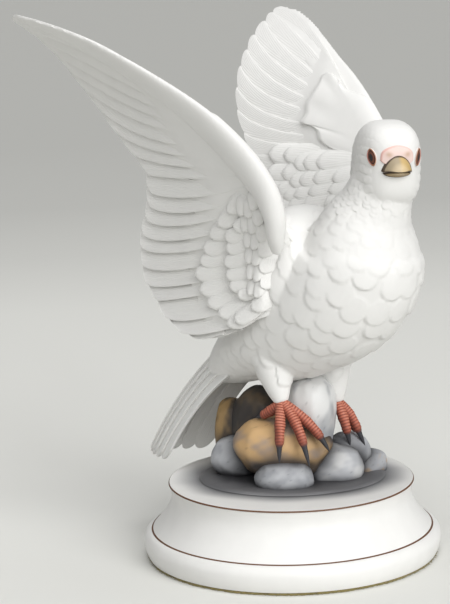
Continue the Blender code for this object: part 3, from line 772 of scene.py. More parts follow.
def body():
    """One skin over the torso, head, arms, mantle and thighs, with its feathers raised in it."""
    shapes = [rings_shape(torso_rings()), rings_shape(from_head(head_form(sphere_points(56, 40))))]
    arm = rings_shape(arm_rings())
    mantle = rings_shape(sphere_points(56, 40) * MANTLE_RADII + MANTLE_MIDDLE)
    wing_root = rings_shape(sphere_points(36, 28) * WING_ROOT_RADII + WING_ROOT_MIDDLE)
    shapes += [lowered(arm), mirrored(arm), mantle, wing_root, mirrored(wing_root)]
    shapes += [rings_shape(thigh_rings(foot)) for foot in FEET]
    points, faces, normals = remeshed(joined(shapes), SKIN_VOXEL)
    height = relief(points, normals, torso_scales() + mantle_scales() + head_scales())
    past = np.abs(points[:, 0]) - wing_lean(points[:, 1], points[:, 2]) + ARM_BARE
    on_arm = step_up(past, 0, 4) * step_up(points[:, 2], *ARM_BARE_FROM)
    height = height * (1 - on_arm) * step_up(points[:, 2], *LEG_BARE_UNDER)
    points = points + normals * height[:, None]
    return shape(points, faces)


# Wings. A place on the wing is y, z in side view and a height towards its outer side.


def fan_point(boundary, share):
    """Side view place on the feather fan: boundaries count from the leading edge, share runs root to tip."""
    root, middle, tip = along(FAN_ROOT, boundary), along(FAN_MIDDLE, boundary), along(FAN_TIP, boundary)
    bow = 2 * middle - (root + tip) / 2
    share = np.asarray(share)[..., None]
    return (1 - share) ** 2 * root + 2 * share * (1 - share) * bow + share ** 2 * tip


def root_tuck(y, z):
    """How far the wing's front edge is drawn in below the arm, so that it sinks into the body."""
    return ROOT_TUCK * np.clip(ROOT_FRONT - y, 0, None) * np.clip((ROOT_TOP - z) / ROOT_FADE, 0, 1)


def on_wing(y, z, height, tuck=0.0):
    """Points of the left wing from side view places and heights."""
    x = wing_lean(y, z) - tuck - root_tuck(y, z)
    slope = (wing_lean(y, z + 1) - wing_lean(y, z - 1)) / 2
    out = unit(np.stack([np.ones_like(slope), np.full_like(slope, WING_SWEEP_IN), -slope], -1))
    return np.stack([x, y, z], -1) + out * np.asarray(height)[..., None]


def fan_tuck(boundary, share):
    """How far the inner feathers' roots are drawn in towards the body."""
    return WING_TUCK * (1 - np.clip(share, 0, 1)) ** 3 * np.clip((boundary - 8) / 6, 0, 1)


@lru_cache
def tuck_places():
    """Side view places all over the fan, with the tuck at each."""
    boundary = np.linspace(0, FEATHERS, 77)[:, None] + np.zeros(33)
    share = np.linspace(0, 0.8, 33) + np.zeros((77, 1))
    spots = fan_point(boundary, share).reshape(-1, 2)
    tree = kdtree.KDTree(len(spots))
    for index, spot in enumerate(spots):
        tree.insert((*spot, 0), index)
    tree.balance()
    return tree, fan_tuck(boundary, share).ravel()


def tuck_at(spot):
    """The fan's tuck at any side view places."""
    tree, tucks = tuck_places()
    near = 4
    found = [[hit[1] for hit in tree.find_n((*place, 0), near)] for place in spot.reshape(-1, 2)]
    return tucks[np.array(found)].mean(1).reshape(spot.shape[:-1])


def leaf(spot, upper, lower, tuck=0.0, place=None):
    """A closed leaf on the wing at side view places, between two heights over the middle surface."""
    y, z = np.moveaxis(spot, -1, 0)
    return leaf_shape(on_wing(y, z, upper, tuck), on_wing(y, z, lower, tuck), place)


def columns_across(count):
    """Places from -1 to 1, closer together at the edges."""
    return np.sin(np.linspace(-pi / 2, pi / 2, count))


def flight_feather(number):
    """One long feather of the fan, with its shaft, tilted so that it laps over the next."""
    rows, columns = 34, 15
    kind = PRIMARY if number < PRIMARIES else SECONDARY
    across = columns_across(columns)[None, :]
    share = np.linspace(0, 1, rows)[:, None]
    boundary = number + 0.5 + FLIGHT_LAP * across * (1 + 0 * share)
    length = np.linalg.norm(fan_point(number + 0.5, 1.0) - fan_point(number + 0.5, 0.0))
    rounding = np.abs(across - kind["peak"]) / (1 + abs(kind["peak"]))
    reach = kind["reach"] - kind["droop"] * rounding ** 2.2
    share = share * (1 + reach / length)
    spot = fan_point(boundary, share)
    spread = across * (0.55 + 0.45 * step_up(share, 0.1, 0.5))
    outer_tilt = kind["outer_tilt"] * spread
    inner_tilt = kind["inner_tilt"] * spread
    edge = 1 - 0.40 * np.abs(across) ** 10
    thin = 1.05 - 0.40 * share
    shaft = 0.22 * bell(across, -0.12, 0.09) * (1 - 0.8 * share)
    tuck = fan_tuck(number, share)
    half = thin * edge + shaft
    return leaf(spot, outer_tilt + half, inner_tilt - half, tuck, vane_place(across, share, length))


def wing_core():
    """The wing's flesh under the coverts."""
    share = np.linspace(0, CORE_REACH, 24)[:, None]
    boundary = np.linspace(0.15, FEATHERS - 0.2, 90)[None, :]
    spot = fan_point(boundary + 0 * share, share + 0 * boundary)
    thinning = 1 - 0.75 * step_up(share / CORE_REACH, 0.55, 1.0)
    half = CORE_HALF_THICKNESS * thinning + 0 * boundary
    return leaf(spot, half, -half, fan_tuck(boundary, share))


def covert(root, tip, half_width, low, high, outer=True, bow=0.0, thick=1.7, blunt=0.5):
    """A small rounded feather on the wing: its upper side rises from low at the root to high at the tip."""
    rows, columns = 17, 11
    across = columns_across(columns)[None, :]
    share = (1 - (1 - np.linspace(0, 1, rows)) ** 1.5)[:, None]
    root, tip = np.asarray(root, float), np.asarray(tip, float)
    length = np.linalg.norm(tip - root)
    forward = (tip - root) / length
    normal = np.array([-forward[1], forward[0]])
    rounded = min(half_width / length / blunt, 0.9)
    over = np.clip((share - (1 - rounded)) / rounded, 0, 1)
    width = half_width * np.sqrt(np.maximum(1 - over ** 2.2, 0.004)) * (0.78 + 0.22 * step_up(share, 0, 0.5))
    spine = root + (tip - root) * share[..., None] + normal * (bow * 4 * share * (1 - share))[..., None]
    spot = spine + normal * (width * across)[..., None]
    dome = 0.75 * (1 - across ** 2) * (0.5 + 0.5 * share)
    edge = 0.5 * step_up(np.abs(across), 0.75, 1.0) + 0.6 * step_up(share, 0.9, 1.0)
    dip = COVERT_ROOT_DIP if outer else 0
    top = low + (high - low) * share + dome - edge - dip * (1 - step_up(share, 0, 0.3))
    bottom = top - thick + 0.3 * step_up(share, 0.6, 1.0)
    if not outer:
        top, bottom = -bottom, -top
    return leaf(spot, top, bottom, tuck_at(spot), vane_place(across, share, length))


def outer_coverts():
    """Rounded rows on the wing's outer side, from the flight feathers up to the arm."""
    shapes = []
    for y, z, root_y, root_z, half in GREATER_COVERTS:
        shapes.append(covert((root_y, root_z), (y, z), half, 1.6, 4.4, bow=-1.2))
    for y, z, root_y, root_z, half in LOWER_COVERTS + MEDIAN_COVERTS:
        shapes.append(covert((root_y, root_z), (y, z), half, 3.0, 5.4, bow=-0.5, blunt=0.8))
    for column, (y, top, bottom, half) in enumerate(LESSER_COLUMNS):
        z = top - 3.5 * (column % 2)
        rise = 0.5 * column
        while z > bottom:
            shapes.append(covert((y - 1.5, z + 5), (y + 0.5, z - 6), half, 3.4 + rise, 5.8 + rise))
            z -= LESSER_STEP
    return shapes


def inner_coverts():
    """Rows of rounded feathers on the wing's inner side."""
    shapes = []
    for boundary, tip_share, root_share, lap, low, high in INNER_ROWS:
        while boundary < FEATHERS - 0.3:
            tip = fan_point(np.array(boundary + 0.5), np.array(tip_share))
            root = fan_point(np.array(boundary + 0.5), np.array(root_share))
            beside = fan_point(np.array(boundary + 1.1), np.array(tip_share))
            half = max(float(np.linalg.norm(beside - tip)) / 0.6 * lap, 3.2)
            shapes.append(covert(root, tip, min(half, 6.2), low, high, outer=False))
            boundary += 1.0
    return shapes


def plate():
    """The smooth skin from the arm's leading edge over its middle to a wavy edge on the primaries."""
    rows, columns = 40, 100
    share = np.linspace(0, 1, rows)[:, None]
    key = np.linspace(*PLATE_ARM, columns)
    edge = along(PLATE_EDGE, np.linspace(0, 14, columns))[None, :]
    arm = along(ARM, key)
    forward = unit(along(ARM, key + 0.05)[:, :2] - along(ARM, key - 0.05)[:, :2])
    reach = arm[:, 4] * (0.93 - 0.75 * step_up(np.linspace(0, 1, columns), 0.72, 1.0))
    leading = arm[:, :2] + np.stack([-forward[:, 1], forward[:, 0]], -1) * reach[:, None]
    middle, leading = arm[None, :, :2], leading[None]
    before = np.clip(1 - share / PLATE_CREST, 0, 1)[..., None]
    after = np.clip((share - PLATE_CREST) / (1 - PLATE_CREST), 0, 1)[..., None]
    spot = middle + (leading - middle) * before + (edge - middle) * after
    rise = np.sqrt(1 - (before[..., 0] * 0.97) ** 2)
    ripple = 0.25 * np.sin(np.linspace(0, 14, columns) * 2.2)[None, :] * step_up(share, 0.5, 0.9)
    height = PLATE_HEIGHT * rise - 0.9 * step_up(share, 0.95, 1.0) + ripple
    return leaf(spot, -np.maximum(height - PLATE_THICKNESS, 0.2), -height)


def wing():
    """The left wing: flesh, long feathers, coverts on both sides and the plate."""
    shapes = [wing_core()]
    shapes += [flight_feather(number) for number in range(FEATHERS)]
    shapes += outer_coverts() + inner_coverts() + [plate()]
    return joined(shapes)


# Tail


def tail_place(across, share):
    """Middle surface of the tail: across runs from -1 to 1, share from root to tip."""
    width = (TAIL_ROOT_WIDTH + (TAIL_TIP_WIDTH - TAIL_ROOT_WIDTH) * share) / 2
    reach = TAIL_LENGTH * share * (1 - TAIL_STAGGER * across ** 2)
    down = TAIL_ARCH * np.abs(across) ** 1.5 - 4 * TAIL_BOW * share * (1 - share)
    y = TAIL_ROOT[1] + reach * cos(TAIL_SLOPE) + down * sin(TAIL_SLOPE)
    z = TAIL_ROOT[2] + reach * sin(TAIL_SLOPE) - down * cos(TAIL_SLOPE)
    return np.stack([across * width, y, z], -1)


def tail_point(across, share, offset):
    """Points at a height over the tail's middle surface."""
    step = 0.01
    over = tail_place(across + step, share) - tail_place(across - step, share)
    back = tail_place(across, share + step) - tail_place(across, share - step)
    normal = unit(np.cross(over, back))
    return tail_place(across, share) + normal * offset[..., None]


def tail_feather(number):
    """One feather of the folded tail, lapping over its outer neighbour."""
    rows, columns = 56, 17
    side = -1 if number < TAIL_FEATHERS / 2 else 1
    across = columns_across(columns)[None, :]
    share = np.linspace(0, 1, rows)[:, None]
    share = share * (1 + (3.0 - 7.0 * np.abs(across) ** 2.6) / TAIL_LENGTH)
    place = -1 + 2 * (number + 0.5 + TAIL_LAP * across + 0 * share) / TAIL_FEATHERS
    place = np.clip(place, -1.06, 1.06)
    rank = abs(number + 0.5 - TAIL_FEATHERS / 2)
    tilt = TAIL_FEATHER_TILT * side * across - 0.16 * rank - 0.6
    edge = 1 - 0.35 * np.abs(across) ** 10
    half = 1.15 * edge * (1 - 0.35 * share) + 0.30 * bell(across, 0, 0.10) * (1 - 0.8 * share)
    top, back = tail_point(place, share, tilt + half), tail_point(place, share, tilt - half)
    return leaf_shape(top, back, vane_place(across, share, TAIL_LENGTH))


def tail():
    return joined([tail_feather(number) for number in range(TAIL_FEATHERS)])


# Beak, forehead and eyes, in the head's own frame, facing -Y


def on_face(x, z, lift):
    """Places on the front of the skull, by how far they lie across and up."""
    half_width, half_length, half_height = HEAD_RADII
    front = np.ones_like(x)
    high = z / half_height
    for _ in range(6):
        cheek = 1 + CHEEK_SWELL * np.maximum(-high, 0)
        wide = x / (half_width * (1 - FACE_NARROWING * front) * cheek)
        high = z / (half_height * (1 - BROW_SLOPE * front))
        left = np.maximum(1 - np.abs(wide) ** HEAD_BLOCK - np.abs(high) ** HEAD_BLOCK, 0.01)
        ahead = left ** (1 / HEAD_BLOCK)
        front = ahead ** 2
    return np.stack([x, -ahead * half_length * cheek - lift, z], -1)


def beak():
    """Upper and lower bill: gold horn with a dark seam and a dark line where it leaves the face; its two
    sides differ partly as two-tone paint and partly as painted light and shade, with a painted highlight at
    the tip and painted shade underneath.
    """
    shapes = []
    rows, sides = 64, 72
    share = np.linspace(0, 1, rows)[:, None]
    angle = round_angles(sides)[None, :]
    over = np.cos(angle) > 0
    for upper, part in ((True, UPPER_BEAK), (False, LOWER_BEAK)):
        wide = part["half_width"] * np.maximum(1 - share ** 3.4, 0.004) ** 0.62
        rise = part["rise"] * np.maximum(1 - (share * 0.985) ** 2.6, 0.01) ** 0.9
        fall = part["fall"] * np.maximum(1 - share ** 3.0, 0.01) ** 0.6
        seam = BEAK_GAPE - (0.0 if upper else 0.8) + 1.1 * step_up(share, 0.55, 0.9)
        x = wide * np.sin(angle)
        tent = (1 - np.abs(np.sin(angle)) ** 2.5) ** 0.8
        z = seam + np.where(over, rise * tent, -fall * np.abs(np.cos(angle)))
        forward = BEAK_BACK - part["reach"] * share + 0 * angle
        points = np.stack([x + BEAK_MIDDLE, forward, z], -1)
        skull = np.abs(points / HEAD_RADII) ** HEAD_BLOCK
        clear = (skull.sum(-1) ** (1 / HEAD_BLOCK) - 1) * HEAD_RADII[1]
        paint = mixed(HORN, HORN_GOLD_AND_LIT_SIDE, 0.3 + 0 * x)
        # The upper bill's sides: grey against gold in its paint, with the side towards the lamps also painted
        # lighter as painted light.
        if upper:
            paint = mixed(HORN_GREY_SHADED_SIDE, HORN_GOLD_AND_LIT_SIDE, step_up(x, -0.8, 1.2))
        # Painted highlight towards the tip.
        paint = mixed(paint, HORN_TIP_HIGHLIGHT, 0.6 * step_up(share, 0.80, 0.98) + 0 * x)
        seam_dark = bell(np.abs(np.sin(angle)), 1.0, 0.02 if upper else 0.03) + 0 * share
        root = 1 - step_up(clear, 0.9, 1.6)
        # Painted shade: the upper bill's underside is dark and the lower bill's underside a little darker;
        # the seam and the line at the face are painted lines.
        below = (~over) * (1.0 if upper else 0.25) + 0 * share
        dark = np.clip(seam_dark + root + below, 0, 1)
        paint = mixed(paint, HORN_DARK_LINE_AND_SHADE, 0.9 * dark)
        shapes.append(rings_shape(from_head(points), paint))
    return joined(shapes)


def forehead():
    """The pale bare skin over the beak, an arch with a rosier edge, and the brown nostril marks in it."""
    rows, turns = 40, 96
    radius = np.linspace(0.02, 1, rows)[:, None]
    angle = round_angles(turns)[None, :]
    low = np.sin(angle) < 0
    arch = np.where(low, 1, 1 + 0.10 * np.sin(2 * angle) ** 2)
    x = FOREHEAD_HALF_WIDTH * radius * np.cos(angle) * arch
    z = FOREHEAD_MIDDLE + np.where(low, FOREHEAD_BELOW, FOREHEAD_ABOVE) * radius * np.sin(angle)
    lift = FOREHEAD_LIFT - 1.3 * step_up(radius, 0.93, 1.0) + 0 * x
    nostril = bell(np.abs(x), NOSTRIL_PLACE[0], 1.7) * bell(z, NOSTRIL_PLACE[1], 1.3)
    lift = lift + 0.35 * bell(np.abs(x), 4.2, 2.2) * bell(z, 8.2, 2.2)
    points = on_face(x, z, lift) + (BEAK_MIDDLE, 0, 0)
    edge = bell(radius, 0.93, 0.05) * (0.35 + 0.35 * step_up(-x, -2, 5))
    paint = mixed(BLUSH, PINK, edge)
    return rings_shape(from_head(points), mixed(paint, NOSTRIL, 0.75 * nostril))


def along_skin(direction, outward):
    """The part of a direction that runs along the skin, where outward is the skin's normal."""
    return unit(np.array(direction) - outward * np.dot(direction, outward))


def eye(side):
    """An almond eye with a raised rim, on the side of the head."""
    rows, turns = 30, 56
    radius = np.linspace(0.02, 1, rows)[:, None]
    angle = round_angles(turns)[None, :]
    pointed = 1 + 0.12 * np.cos(angle) ** 6
    along_eye = EYE_HALF_LENGTH * radius * np.cos(angle) * pointed
    up_eye = EYE_HALF_WIDTH * radius * np.sin(angle)
    ahead = along_eye * cos(EYE_SLANT) - up_eye * sin(EYE_SLANT)
    up = along_eye * sin(EYE_SLANT) + up_eye * cos(EYE_SLANT)
    middle = unit(np.array(EYE_DIRECTIONS[side]))
    forward = along_skin((0, -1, 0), middle)
    upward = along_skin((0, 0, 1), middle)
    direction = unit(middle + (ahead[..., None] * forward + up[..., None] * upward) / EYE_SKULL_RADIUS)
    ball = 0.9 * np.sqrt(np.maximum(1 - (radius / EYE_BALL) ** 2, 0))
    height = 0.25 + ball + 0.75 * bell(radius, 0.78, 0.10) - 1.2 * step_up(radius, 0.88, 1.0) + 0 * angle
    points = head_form(direction) + direction * height[..., None]
    radius = radius + 0 * angle
    paint = mixed(BLACK, IRIS, step_up(radius, 0.30, 0.40))
    paint = mixed(paint, BLACK, bell(radius, 0.64, 0.05))
    rim = mixed(RIM_PINK, RIM_BROWN, step_up(np.sin(angle), -0.8, -0.1) + 0 * radius)
    paint = mixed(paint, rim, step_up(radius, EYE_BALL, 0.72))
    paint = mixed(paint, WHITE, step_up(radius, 0.80, 0.95))
    return rings_shape(from_head(points), paint, inside_out=side < 0)


# Feet


def toe(ankle, middle, tip):
    """A scaly toe that bends at its joint and ends in a black claw, with a painted highlight on its upper
    scutes and painted shade in its grooves and underneath.
    """
    bend, end = np.array(middle, float), np.array(tip, float)
    start = np.array(ankle, float) * 0.97 + bend * 0.03
    curve = 2 * bend - (start + end) / 2
    rows, sides = 120, 24
    share = np.linspace(0, 1, rows)[:, None]
    places = start * (1 - share) ** 2 + curve * 2 * share * (1 - share) + end * share ** 2
    length = np.linalg.norm(np.diff(places, axis=0), axis=1).sum()
    angle = round_angles(sides)[None, :]
    size = np.interp(share, (0, 0.28, 0.52, 0.72, 0.78, 0.90, 1.0), (1.02, 1.0, 0.94, 0.78, 0.56, 0.38, 0.08))
    flesh = 1 - step_up(share, 0.72, 0.78)
    upper = step_up(np.sin(angle), -0.2, 0.6)
    scute = np.abs(np.sin(pi * share * length / SCUTE_LENGTH + 0.35 * np.cos(angle)))
    knuckle = 0.10 * bell(share, 0.42, 0.05) + 0.07 * bell(share, 0.66, 0.04)
    radii = TOE_RADIUS * (size + (0.13 * scute ** 0.5 * (0.35 + 0.65 * upper) + knuckle) * flesh)
    rings = tube_rings(places, radii, sides)
    groove = np.clip(1.25 - scute * 1.6, 0, 1)
    # Painted highlight: the tops of the scutes on the upper side are lighter.
    paint = mixed(CORAL, CORAL_PAINTED_HIGHLIGHT, upper * scute ** 3 * 0.45)
    # Painted shade in the grooves between the scutes and on the underside; the coral also darkens towards the
    # claw.
    shade = np.clip(groove * 0.8 + 0.75 * (1 - step_up(np.sin(angle), -0.75, 0.15)), 0, 1)
    shade = np.maximum(shade, 0.85 * step_up(share, 0.55, 0.80) + 0 * shade)
    paint = mixed(paint, CORAL_SHADE_AND_DARK_TIP, 0.9 * shade)
    return rings_shape(rings, mixed(paint, CLAW, 1 - flesh))


def feet():
    shapes = []
    for foot in FEET:
        for middle, tip in foot["toes"] + (foot["hind"],):
            shapes.append(toe(foot["ankle"], middle, tip))
    return joined(shapes)


# Stones and ground

def crevice_shade(points, number):
    """How dark the painted shade in the joint between a stone and its neighbours or the ground is, from 0 to
    1.
    """
    gap = points[..., 2] - (BED + SLAB_THICKNESS)
    for other, (x, y, z, *half, turn) in enumerate(STONES):
        if other == number:
            continue
        local = spun(points - (x, y, BED + z), -radians(turn))
        reach = np.linalg.norm(local / np.array(half), axis=-1)
        gap = np.minimum(gap, (reach - 1) * min(half))
    return np.exp(-(np.maximum(gap, 0) / CREVICE_SHADE_REACH) ** 1.3)


def stone(number):
    """A smooth uneven pebble with patches of paint, and painted shade in its joints and underneath."""
    x, y, z, half_x, half_y, half_z, turn = STONES[number]
    rows, sides = 54, 84
    point = sphere_points(sides, rows)
    longest = np.abs(point).max(-1)[..., None]
    form = point * (1 - STONE_SQUARENESS) + point / longest * STONE_SQUARENESS
    wave = np.sin(3.1 * point[..., 0] + 1.7 * number) * np.cos(2.7 * point[..., 1] + 2.3 * number)
    lump = 1 + STONE_LUMPS * (wave + 0.7 * np.sin(4.3 * point[..., 2] + 0.9 * number))
    lump = lump + 0.014 * waves(point * 10, 7, number) + 0.004 * waves(point * 10, 2.2, number + 5)
    form = form * (half_x, half_y, half_z) * lump[..., None]
    points = spun(form, radians(turn)) + (x, y, BED + z)
    points[..., 2] = np.maximum(points[..., 2], BED + SLAB_THICKNESS)
    main, patch, cover, joint = STONE_PAINTS[number]
    field = waves(point * 10, 11, number + 3) + 0.35 * waves(point * 10, 4, number + 9)
    patches = 0.75 * step_up(field, 0.4 - 2.0 * cover, 2.0 - 2.0 * cover)
    paint = mixed(main, patch, patches)
    # Painted shade: each stone is darker on its underside, and in its joints with its neighbours and the
    # ground.
    under = 0.55 * step_up(-point[..., 2], -0.15, 0.8)
    dark = np.clip(crevice_shade(points, number) + under, 0, 1) * 0.92
    paint = mixed(paint, joint, dark)
    speck = step_up(waves(points, 1.9, number + 2) + waves(points, 3.1, number + 4), 1.45, 1.8)
    return rings_shape(points, paint * (1 - 0.25 * speck[..., None]))


def slab_reach(x, y):
    """How far a place lies from the slab's middle, as a share of the way to its edge."""
    local = spun(np.stack([x - SLAB_MIDDLE[0], y - SLAB_MIDDLE[1], 0 * x], -1), -SLAB_TURN)
    return np.hypot(local[..., 0] / SLAB_HALF_LENGTH, local[..., 1] / SLAB_HALF_WIDTH)


def ground_paint(x, y):
    """Charcoal sprayed round the stones, fading to white outside the slab."""
    reach = slab_reach(x, y) + 0.02 * waves(np.stack([x, y, 0 * x], -1), 30, 4)
    near = mixed(CHARCOAL, ASH, step_up(reach, 0.60, 0.98))
    outer = mixed(near, DUST, step_up(reach, 0.94, 1.10))
    return mixed(outer, WHITE, step_up(reach, 1.04, 1.30))


def slab():
    """The thin oval ground with a soft uneven edge, airbrushed grey."""
    sides, rows = 160, 44
    angle = round_angles(sides)[None, :]
    share = np.linspace(0.02, 1, rows)[:, None]
    wobble = 0.990 + 0.007 * np.sin(3 * angle + 1) + 0.003 * np.sin(7 * angle)
    x = SLAB_HALF_LENGTH * share * wobble * np.cos(angle)
    y = SLAB_HALF_WIDTH * share * wobble * np.sin(angle)
    inward = (1 - share) * SLAB_HALF_WIDTH
    height = SLAB_THICKNESS * np.sqrt(np.clip(1 - (1 - np.minimum(inward / SLAB_BEVEL, 1)) ** 2, 0, 1))
    points = spun(np.stack([x, y, height + 0 * x], -1), SLAB_TURN) + (*SLAB_MIDDLE, SLAB_FLOOR)
    points[..., 2] += 0.22 * waves(points, 14, 5) * step_up(inward, 2, 8)
    return rings_shape(points, ground_paint(points[..., 0], points[..., 1]), inside_out=True)


# Plinth and felt


def plinth_profile():
    """Radius and height of the rings, from the middle of the flat top down to the foot."""
    waist = PLINTH_MOULDING + PLINTH_FLARE
    lip = PLINTH_TOP_RADIUS - PLINTH_WAIST_RADIUS
    flare = PLINTH_FLARE_RADIUS - PLINTH_WAIST_RADIUS
    profile = [(radius, PLINTH_HEIGHT) for radius in np.linspace(1, PLINTH_TOP_RADIUS - 1, PLINTH_TOP_RINGS)]
    for angle in np.linspace(0.2, pi / 2, 5):
        out, down = PLINTH_EDGE * (sin(angle) - 1), PLINTH_EDGE * (cos(angle) - 1)
        profile.append((PLINTH_TOP_RADIUS + out, PLINTH_HEIGHT + down))
    for share in np.linspace(0.85, 0, 9):
        profile.append((PLINTH_WAIST_RADIUS + lip * share ** 2, waist + PLINTH_LIP * share))
    for share in np.linspace(0.06, 1, 16):
        profile.append((PLINTH_WAIST_RADIUS + flare * share ** 1.7, waist - PLINTH_FLARE * share))
    widest = PLINTH_MOULDING * 0.58
    bulge = PLINTH_BULGE_RADIUS - PLINTH_FLARE_RADIUS
    for share in np.linspace(0.08, 1, 12):
        swell = (1 - (1 - share) ** 2) ** 0.5
        down = (PLINTH_MOULDING - widest) * share
        profile.append((PLINTH_FLARE_RADIUS + bulge * swell, PLINTH_MOULDING - down))
    inward = PLINTH_BULGE_RADIUS - PLINTH_FOOT_RADIUS
    for share in np.linspace(0.1, 1, 10):
        profile.append((PLINTH_BULGE_RADIUS - inward * share ** 2, widest * (1 - share)))
    return np.array(profile)


def painted_profile():
    """The plinth's profile with close rows added at both edges of each painted line."""
    profile = plinth_profile()
    length = np.concatenate([[0], np.cumsum(np.linalg.norm(np.diff(profile, axis=0), axis=1))])
    height = profile[:, 1] + PLINTH_FLOOR
    side_height, side_length = height[PLINTH_TOP_RINGS:], length[PLINTH_TOP_RINGS:]
    middles = [float(np.interp(-line, -side_height, side_length)) for line in (UPPER_LINE, LOWER_LINE)]
    reaches = [side * (LINE_WIDTH / 2 + gap) for side in (-1, 1) for gap in (0, 0.06)]
    extra = [middle + reach for middle in middles for reach in reaches]
    places = np.sort(np.concatenate([length, extra]))
    rows = np.stack([np.interp(places, length, profile[:, 0]), np.interp(places, length, profile[:, 1])], -1)
    inside = [np.abs(places - middle) < LINE_WIDTH / 2 + 0.03 for middle in middles]
    return rows, inside[0] | inside[1]


def plinth():
    """The turned base, white but for the sprayed ground on its top and the two painted lines."""
    profile, lines = painted_profile()
    angle = round_angles(192)
    points = np.stack([
        profile[:, None, 0] * np.cos(angle), profile[:, None, 0] * np.sin(angle),
        profile[:, None, 1] + PLINTH_FLOOR + 0 * angle,
    ], -1)
    top = points[..., 2] > PLINTH_FLOOR + PLINTH_HEIGHT - 0.3
    paint = np.where(top[..., None], ground_paint(points[..., 0], points[..., 1]), WHITE)
    paint[lines] = LINE_BROWN
    return rings_shape(points, paint, inside_out=True)


def felt():
    """The felt sheet with a rough edge and short loose fibres."""
    sides = 360
    angle = round_angles(sides)
    rough = 0.35 * hashed(np.arange(sides), 7) + 0.25 * np.sin(17 * angle) + 0.2 * np.sin(41 * angle + 1)
    radius = PLINTH_FOOT_RADIUS - 0.6 + rough
    profile = ((-6, 0.0), (0.0, 0.05), (0.25, 0.5), (0.0, PAD_THICKNESS), (-6, PAD_THICKNESS))
    rings = [
        np.stack([(radius + out) * np.cos(angle), (radius + out) * np.sin(angle), np.full(sides, high)], -1)
        for out, high in profile
    ]
    shapes = [rings_shape(rings, OLIVE)]
    for number in range(FIBRES):
        turn = 2 * pi * (number + 0.5 * hashed(number, 11)) / FIBRES
        out = PLINTH_FOOT_RADIUS - 1.2
        length = 1.4 + 1.1 * hashed(number, 13)
        swing = turn + 0.9 * hashed(number, 17)
        start = np.array([out * cos(turn), out * sin(turn), 0.55 + 0.3 * hashed(number, 19)])
        end = start + (length * cos(swing), length * sin(swing), -0.35 + 0.3 * hashed(number, 23))
        end[2] = max(end[2], 0.12)
        middle = (start + end) / 2 + (0, 0, 0.25)
        rings = tube_rings([start, middle, end], (0.10, 0.09, 0.03), 3)
        shapes.append(rings_shape(rings, OLIVE_LIGHT))
    return joined(shapes)


# Materials


def linked(tree, kind, **values):
    node = tree.nodes.new(kind)
    for name, value in values.items():
        setattr(node, name, value)
    return node


def noise(tree, source, scale, detail=4.0):
    node = linked(tree, "ShaderNodeTexNoise")
    node.inputs["Scale"].default_value = scale
    node.inputs["Detail"].default_value = detail
    tree.links.new(source, node.inputs["Vector"])
    return node.outputs["Fac"]


def scaled(tree, source, low, high):
    node = linked(tree, "ShaderNodeMapRange")
    node.inputs["To Min"].default_value = low
    node.inputs["To Max"].default_value = high
    tree.links.new(source, node.inputs["Value"])
    return node.outputs["Result"]


def bumped(tree, height, strength, distance, normal=None):
    node = linked(tree, "ShaderNodeBump")
    node.inputs["Strength"].default_value = strength
    node.inputs["Distance"].default_value = distance
    tree.links.new(height, node.inputs["Height"])
    if normal is not None:
        tree.links.new(normal, node.inputs["Normal"])
    return node.outputs["Normal"]


def new_finish(name):
    """A new material, its node tree, its shader and its place in the object's own frame."""
    finish = bpy.data.materials.new(name)
    finish.use_nodes = True
    tree = finish.node_tree
    return finish, tree, tree.nodes["Principled BSDF"], linked(tree, "ShaderNodeTexCoord").outputs["Object"]


def tinted(tree, tone, shader):
    """Colours the shader with the mesh's paint, made lighter and darker by a tone."""
    paint = linked(tree, "ShaderNodeVertexColor", layer_name="paint")
    shade = linked(tree, "ShaderNodeMix", data_type="RGBA", blend_type="MULTIPLY")
    shade.inputs["Factor"].default_value = 1.0
    tree.links.new(paint.outputs["Color"], shade.inputs["A"])
    tree.links.new(tone, shade.inputs["B"])
    tree.links.new(shade.outputs["Result"], shader.inputs["Base Color"])


def painted_ceramic(name, roughness, grain, barbs):
    """Matte fired clay that takes its colour from the mesh's paint."""
    finish, tree, shader, where = new_finish(name)
    shader.inputs["Metallic"].default_value = 0.0
    shader.inputs["Specular IOR Level"].default_value = 0.35
    tinted(tree, scaled(tree, noise(tree, where, 90.0), 0.94, 1.03), shader)
    tree.links.new(scaled(tree, noise(tree, where, 140.0), roughness - 0.06, roughness + 0.08),
                   shader.inputs["Roughness"])
    normal = bumped(tree, noise(tree, where, 900.0, 6.0), 0.25, grain)
    if barbs:
        normal = bumped(tree, barb_height(tree), 0.6, barbs, normal)
    tree.links.new(normal, shader.inputs["Normal"])
    return finish


def maths(tree, operation, first, second=None):
    node = linked(tree, "ShaderNodeMath", operation=operation)
    for socket, value in zip(node.inputs, (first, second)):
        if value is None:
            continue
        if isinstance(value, (int, float)):
            socket.default_value = value
        else:
            tree.links.new(value, socket)
    return node.outputs["Value"]


def barb_height(tree):
    """Fine lines that leave a feather's shaft at a small angle, from the vane pattern."""
    vane = linked(tree, "ShaderNodeUVMap", uv_map="vane")
    parts = linked(tree, "ShaderNodeSeparateXYZ")
    tree.links.new(vane.outputs["UV"], parts.inputs["Vector"])
    across = maths(tree, "MULTIPLY", maths(tree, "ABSOLUTE", parts.outputs["X"]), 62.0)
    place = maths(tree, "SUBTRACT", across, maths(tree, "MULTIPLY", parts.outputs["Y"], 4.5))
    return maths(tree, "SINE", place)


def felt_material():
    finish, tree, shader, where = new_finish("olive_felt_fibre")
    shader.inputs["Roughness"].default_value = 0.95
    shader.inputs["Sheen Weight"].default_value = 0.3
    tinted(tree, scaled(tree, noise(tree, where, 700.0), 0.5, 1.7), shader)
    tree.links.new(bumped(tree, noise(tree, where, 1500.0), 0.8, 0.0004), shader.inputs["Normal"])
    return finish


